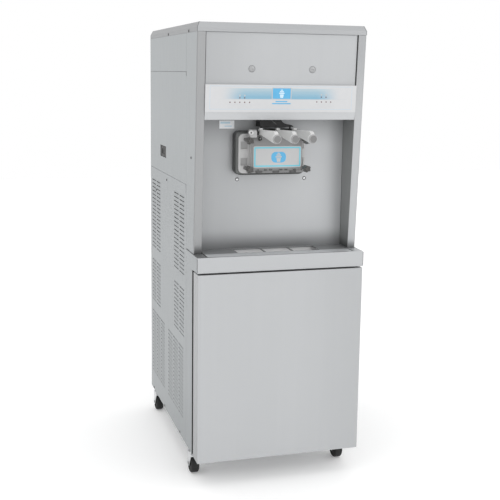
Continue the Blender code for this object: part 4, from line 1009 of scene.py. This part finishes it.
def make_handle(name):
    """One moulded draw handle: a tapered lever from its hub on the pin to a round knob with a dark disc, the
    knob's front faces round it painted darker as painted shade.
    """
    node = f"draw_handle_{name}"
    a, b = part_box(node)
    pivot = joint_point(f"draw_handle_{name}_pull")
    x = pivot.x
    radius = 0.0165
    knob_z = a.z + radius
    knob_back = a.y + 0.020
    half = 0.0080
    shape = Shape("handle", "handle_dark", "handle_front_painted_shade", "black")
    wedge = [
        (pivot.y + 0.002, pivot.z + 0.0098),
        (knob_back + 0.008, b.z),
        (knob_back - 0.006, knob_z + 0.0225),
        (knob_back - 0.010, knob_z + 0.0120),
        (knob_back - 0.010, a.z + 0.0015),
        (knob_back + 0.012, a.z + 0.0015),
        (pivot.y - 0.012, pivot.z - 0.0070),
        (pivot.y + 0.002, pivot.z - 0.0088),
    ]
    shape.prism("X", wedge, x - half, x + half, 0.0028, 0, 3)
    front = facing((x, a.y, knob_z), (0, 1, 0))
    knob = [
        (0, 0.0195), (0.0145, 0.0195), (0.0160, 0.0180), (radius, 0.0160), (radius, 0.0085), (0.0162, 0.0055),
        (0.0153, 0.0028), (0.0138, 0.0010), (0.0120, 0.0002), (0.0108, 0.0), (0.0104, 0.0008), (0, 0.0008),
    ]
    shape.turned(knob, front, 48)
    # The knob's front faces take a darker grey: painted shade.
    shape.finish_where(lambda normal, middle: normal.y < -0.3 and middle.y < knob_back - 0.011, 2)
    disc = [(0, -0.0002), (0.0122, -0.0002), (0.0125, 0.0002), (0.0125, 0.0014), (0, 0.0014)]
    shape.turned(disc, front, 40, 1)
    hub = [(0, 0.017), (0.0092, 0.017), (0.0105, 0.0158), (0.0105, 0.0012), (0.0092, 0), (0, 0)]
    shape.turned(hub, facing((x - 0.0085, pivot.y, pivot.z), (1, 0, 0)), 40)
    shape.box((x - 0.0030, pivot.y, pivot.z - 0.0030), (x + 0.0030, b.y, pivot.z + 0.0030), 0.0008)
    shape.box((x - 0.0075, pivot.y - 0.0085, pivot.z), (x + 0.0065, pivot.y + 0.0070, b.z - 0.0003), 0.0018)
    stop = Vector((x + 0.0066, pivot.y - 0.0080, pivot.z + 0.004))
    shape.box(stop, stop + Vector((0.0018, 0.012, 0.0085)), 0.0004, 3)
    # A dark patch on top just behind the knob: painted shade standing for a small recess.
    dent_painted_shade = Vector((x - 0.0030, knob_back + 0.006, b.z - 0.0040))
    shape.box(dent_painted_shade, dent_painted_shade + Vector((0.0060, 0.014, 0.0036)), 0.0006, 1)
    shape.done(f"{node}_piece", node, slot_of(node), node)


def make_handscrew(row, side_name):
    """Dark knob with five deep flutes on a necked steel screw, over a bright washer."""
    node = f"handscrew_{row}_{side_name}"
    place = joint_point(f"{node}_turn")
    shape = Shape("knob", "steel_bright", "steel_dark")
    out = facing(place, (0, -1, 0))
    shank = [
        (0, -0.036), (0.0040, -0.036), (0.0040, 0.0005), (0.0070, 0.0005), (0.0070, 0.0080), (0.0060, 0.0120),
        (0.0060, 0.0380), (0.0090, 0.0410), (0.0090, 0.0440), (0, 0.0440),
    ]
    shape.turned(shank, out, 32, 2)
    knob = [
        (0, 0.0420), (0.0100, 0.0420), (0.0132, 0.0440), (0.0140, 0.0480), (0.0140, 0.0720), (0.0130, 0.0765),
        (0.0100, 0.0795), (0.0060, 0.0800), (0.0055, 0.0780), (0, 0.0780),
    ]
    shape.turned(knob, out, 60, 0, (5, 0.26, 0.041, 0.0797))
    shape.turned([(0.0042, 0.0002), (0.0068, 0.0002), (0.0068, 0.0018), (0.0042, 0.0018)], out, 32, 1)
    shape.done(f"{node}_piece", node, slot_of(node), node)


def make_valve_gear():
    for name in FLAVOURS:
        kept(f"draw_valve_{name}", "nylon")
        kept(f"design_cap_{name}", "door_cap")
        make_handle(name)
    for row in ("upper", "lower"):
        for side_name in SIDES:
            make_handscrew(row, side_name)


# ---------------------------------------------------------------- hoppers, inside and casters
def make_hoppers():
    for name in SIDES:
        refined(f"hopper_cover_{name}", "nylon", 0.0015, 3)
        refined(f"hopper_{name}", "steel_deep", 0.0004, 1)
        kept(f"feed_tube_{name}", "nylon")


def make_inside():
    for name in SIDES:
        kept(f"freezing_cylinder_{name}", "foam")
        kept(f"beater_{name}", "steel_bright")
        kept(f"gear_motor_{name}", "enamel")
    kept("compressor", "enamel")
    kept("condenser", "fins")
    kept("condenser_fan", "charcoal")


def make_caster_fork(node, pivot, axle):
    """Zinc-plated fork: bearing cup, crown plate, two cheeks and the axle bolt with its nuts."""
    shape = Shape("zinc", "steel_dark")
    cup = [(0, 0), (0.0200, 0), (0.0200, 0.0070), (0.0165, 0.0110), (0.0165, 0.0137), (0, 0.0137)]
    shape.turned(cup, facing((pivot.x, pivot.y, 0.0860), UP), 40)
    half = 0.0205
    crown = Vector((pivot.x - half, pivot.y - 0.0235, 0.0790))
    shape.box(crown, crown + Vector((2 * half, 0.0605, 0.0080)), 0.0018, 0, 3)
    cheek = [
        (pivot.y - 0.018, 0.0800),
        (axle.y - 0.011, axle.z),
        (axle.y - 0.006, axle.z - 0.010),
        (axle.y + 0.006, axle.z - 0.010),
        (axle.y + 0.011, axle.z),
        (pivot.y + 0.035, 0.0800),
    ]
    for side in (-1, 1):
        ends = sorted((pivot.x + side * 0.0180, pivot.x + side * half))
        shape.prism("X", cheek, *ends, 0.0006)
        nut = [(0, 0), (0.0065, 0), (0.0065, 0.0020), (0, 0.0020)]
        shape.turned(nut, facing((pivot.x + side * half, axle.y, axle.z), (side, 0, 0)), 6, 1)
    bolt = [(0, 0), (0.0040, 0), (0.0040, 2 * half), (0, 2 * half)]
    shape.turned(bolt, facing((pivot.x - half, axle.y, axle.z), (1, 0, 0)), 16, 1)
    shape.done(f"{node}_piece", node, slot_of(node), node)


def make_caster(end, side_name):
    """A swivelling fork and its rubber-tyred wheel."""
    fork = f"caster_fork_{end}_{side_name}"
    wheel = f"caster_wheel_{end}_{side_name}"
    axle = joint_point(f"caster_{end}_{side_name}_roll")
    make_caster_fork(fork, joint_point(f"caster_{end}_{side_name}_swivel"), axle)
    radius = axle.z
    rim = [
        (0.0300, 0.0165), (0.0330, 0.0160), (radius - 0.0012, 0.0138), (radius, 0.0110), (radius, -0.0110),
        (radius - 0.0012, -0.0138), (0.0330, -0.0160), (0.0300, -0.0165),
    ]
    web = [(0.0270, 0.0130), (0.0120, 0.0130), (0.0110, 0.0165), (0.0045, 0.0165)]
    tyre = rim + [(r, -h) for r, h in web] + web[::-1]
    shape = Shape("rubber")
    shape.turned(tyre, facing(axle, (1, 0, 0)), 64)
    shape.done(f"{wheel}_piece", wheel, slot_of(wheel), wheel)


# ---------------------------------------------------------------- stage, light and camera
def make_stage():
    bm = bmesh.new()
    bmesh.ops.create_grid(bm, x_segments=1, y_segments=1, size=10.0)
    mesh = bpy.data.meshes.new("floor")
    bm.to_mesh(mesh)
    bm.free()
    floor = bpy.data.objects.new("floor", mesh)
    bpy.context.scene.collection.objects.link(floor)
    paper = Surface("floor_paper", 0.7, Emission_Color=(1, 1, 1, 1), Emission_Strength=0.16)
    clouds = paper.noise(1.5, 2.0)
    paper.colour(paper.mix(clouds, (0.90, 0.90, 0.90), (0.93, 0.93, 0.93)))
    mesh.materials.append(paper.material)


def make_world():
    world = bpy.data.worlds.new("studio")
    world.use_nodes = True
    bpy.context.scene.world = world
    tree = world.node_tree
    back = tree.nodes["Background"]
    coord = tree.nodes.new("ShaderNodeTexCoord")
    split = tree.nodes.new("ShaderNodeSeparateXYZ")
    ramp = tree.nodes.new("ShaderNodeMapRange")
    tree.links.new(coord.outputs["Generated"], split.inputs[0])
    tree.links.new(split.outputs["Y"], ramp.inputs["Value"])
    for socket, value in (("From Min", -1.0), ("From Max", 1.0), ("To Min", 1.25), ("To Max", 0.92)):
        ramp.inputs[socket].default_value = value
    path = tree.nodes.new("ShaderNodeLightPath")
    seen = tree.nodes.new("ShaderNodeMix")
    seen.inputs[3].default_value = 1.0
    tree.links.new(path.outputs["Is Camera Ray"], seen.inputs[0])
    tree.links.new(ramp.outputs["Result"], seen.inputs[2])
    tree.links.new(seen.outputs[0], back.inputs["Strength"])
    back.inputs["Color"].default_value = (1.0, 1.0, 1.0, 1.0)


def area_light(name, place, target, size, energy):
    data = bpy.data.lights.new(name, "AREA")
    data.size = size
    data.energy = energy
    lamp = bpy.data.objects.new(name, data)
    lamp.location = place
    lamp.rotation_euler = (Vector(target) - Vector(place)).to_track_quat("-Z", "Y").to_euler()
    bpy.context.scene.collection.objects.link(lamp)


def make_camera():
    """A long lens from the front left, just above the console's height, looking slightly down."""
    data = bpy.data.cameras.new("camera")
    data.lens = 66.96
    data.sensor_width = 36.0
    data.shift_y = -0.05
    camera = bpy.data.objects.new("camera", data)
    right = Vector((0.95916, -0.28254, 0.01328))
    up = Vector((0.03293, 0.15818, 0.98686))
    turn = Matrix((right, up, right.cross(up))).transposed().to_4x4()
    camera.matrix_world = Matrix.Translation((-1.08504, -3.63078, 1.55292)) @ turn
    bpy.context.scene.collection.objects.link(camera)
    bpy.context.scene.camera = camera


make_top_cover()
make_upper_front()
make_posts_and_sides()
make_rear()
make_lower_front()
make_console()
make_serving_space()
make_door()
make_valve_gear()
make_hoppers()
make_inside()
for end in ("front", "rear"):
    for side_name in SIDES:
        make_caster(end, side_name)
make_stage()
make_world()
area_light("key", (2.4, -3.4, 2.6), (0, 0, 0.9), 2.0, 8)
area_light("top", (-0.5, -0.5, 3.6), (0, 0, 1.2), 2.2, 6)
make_camera()
bpy.context.scene.view_settings.view_transform = "Standard"
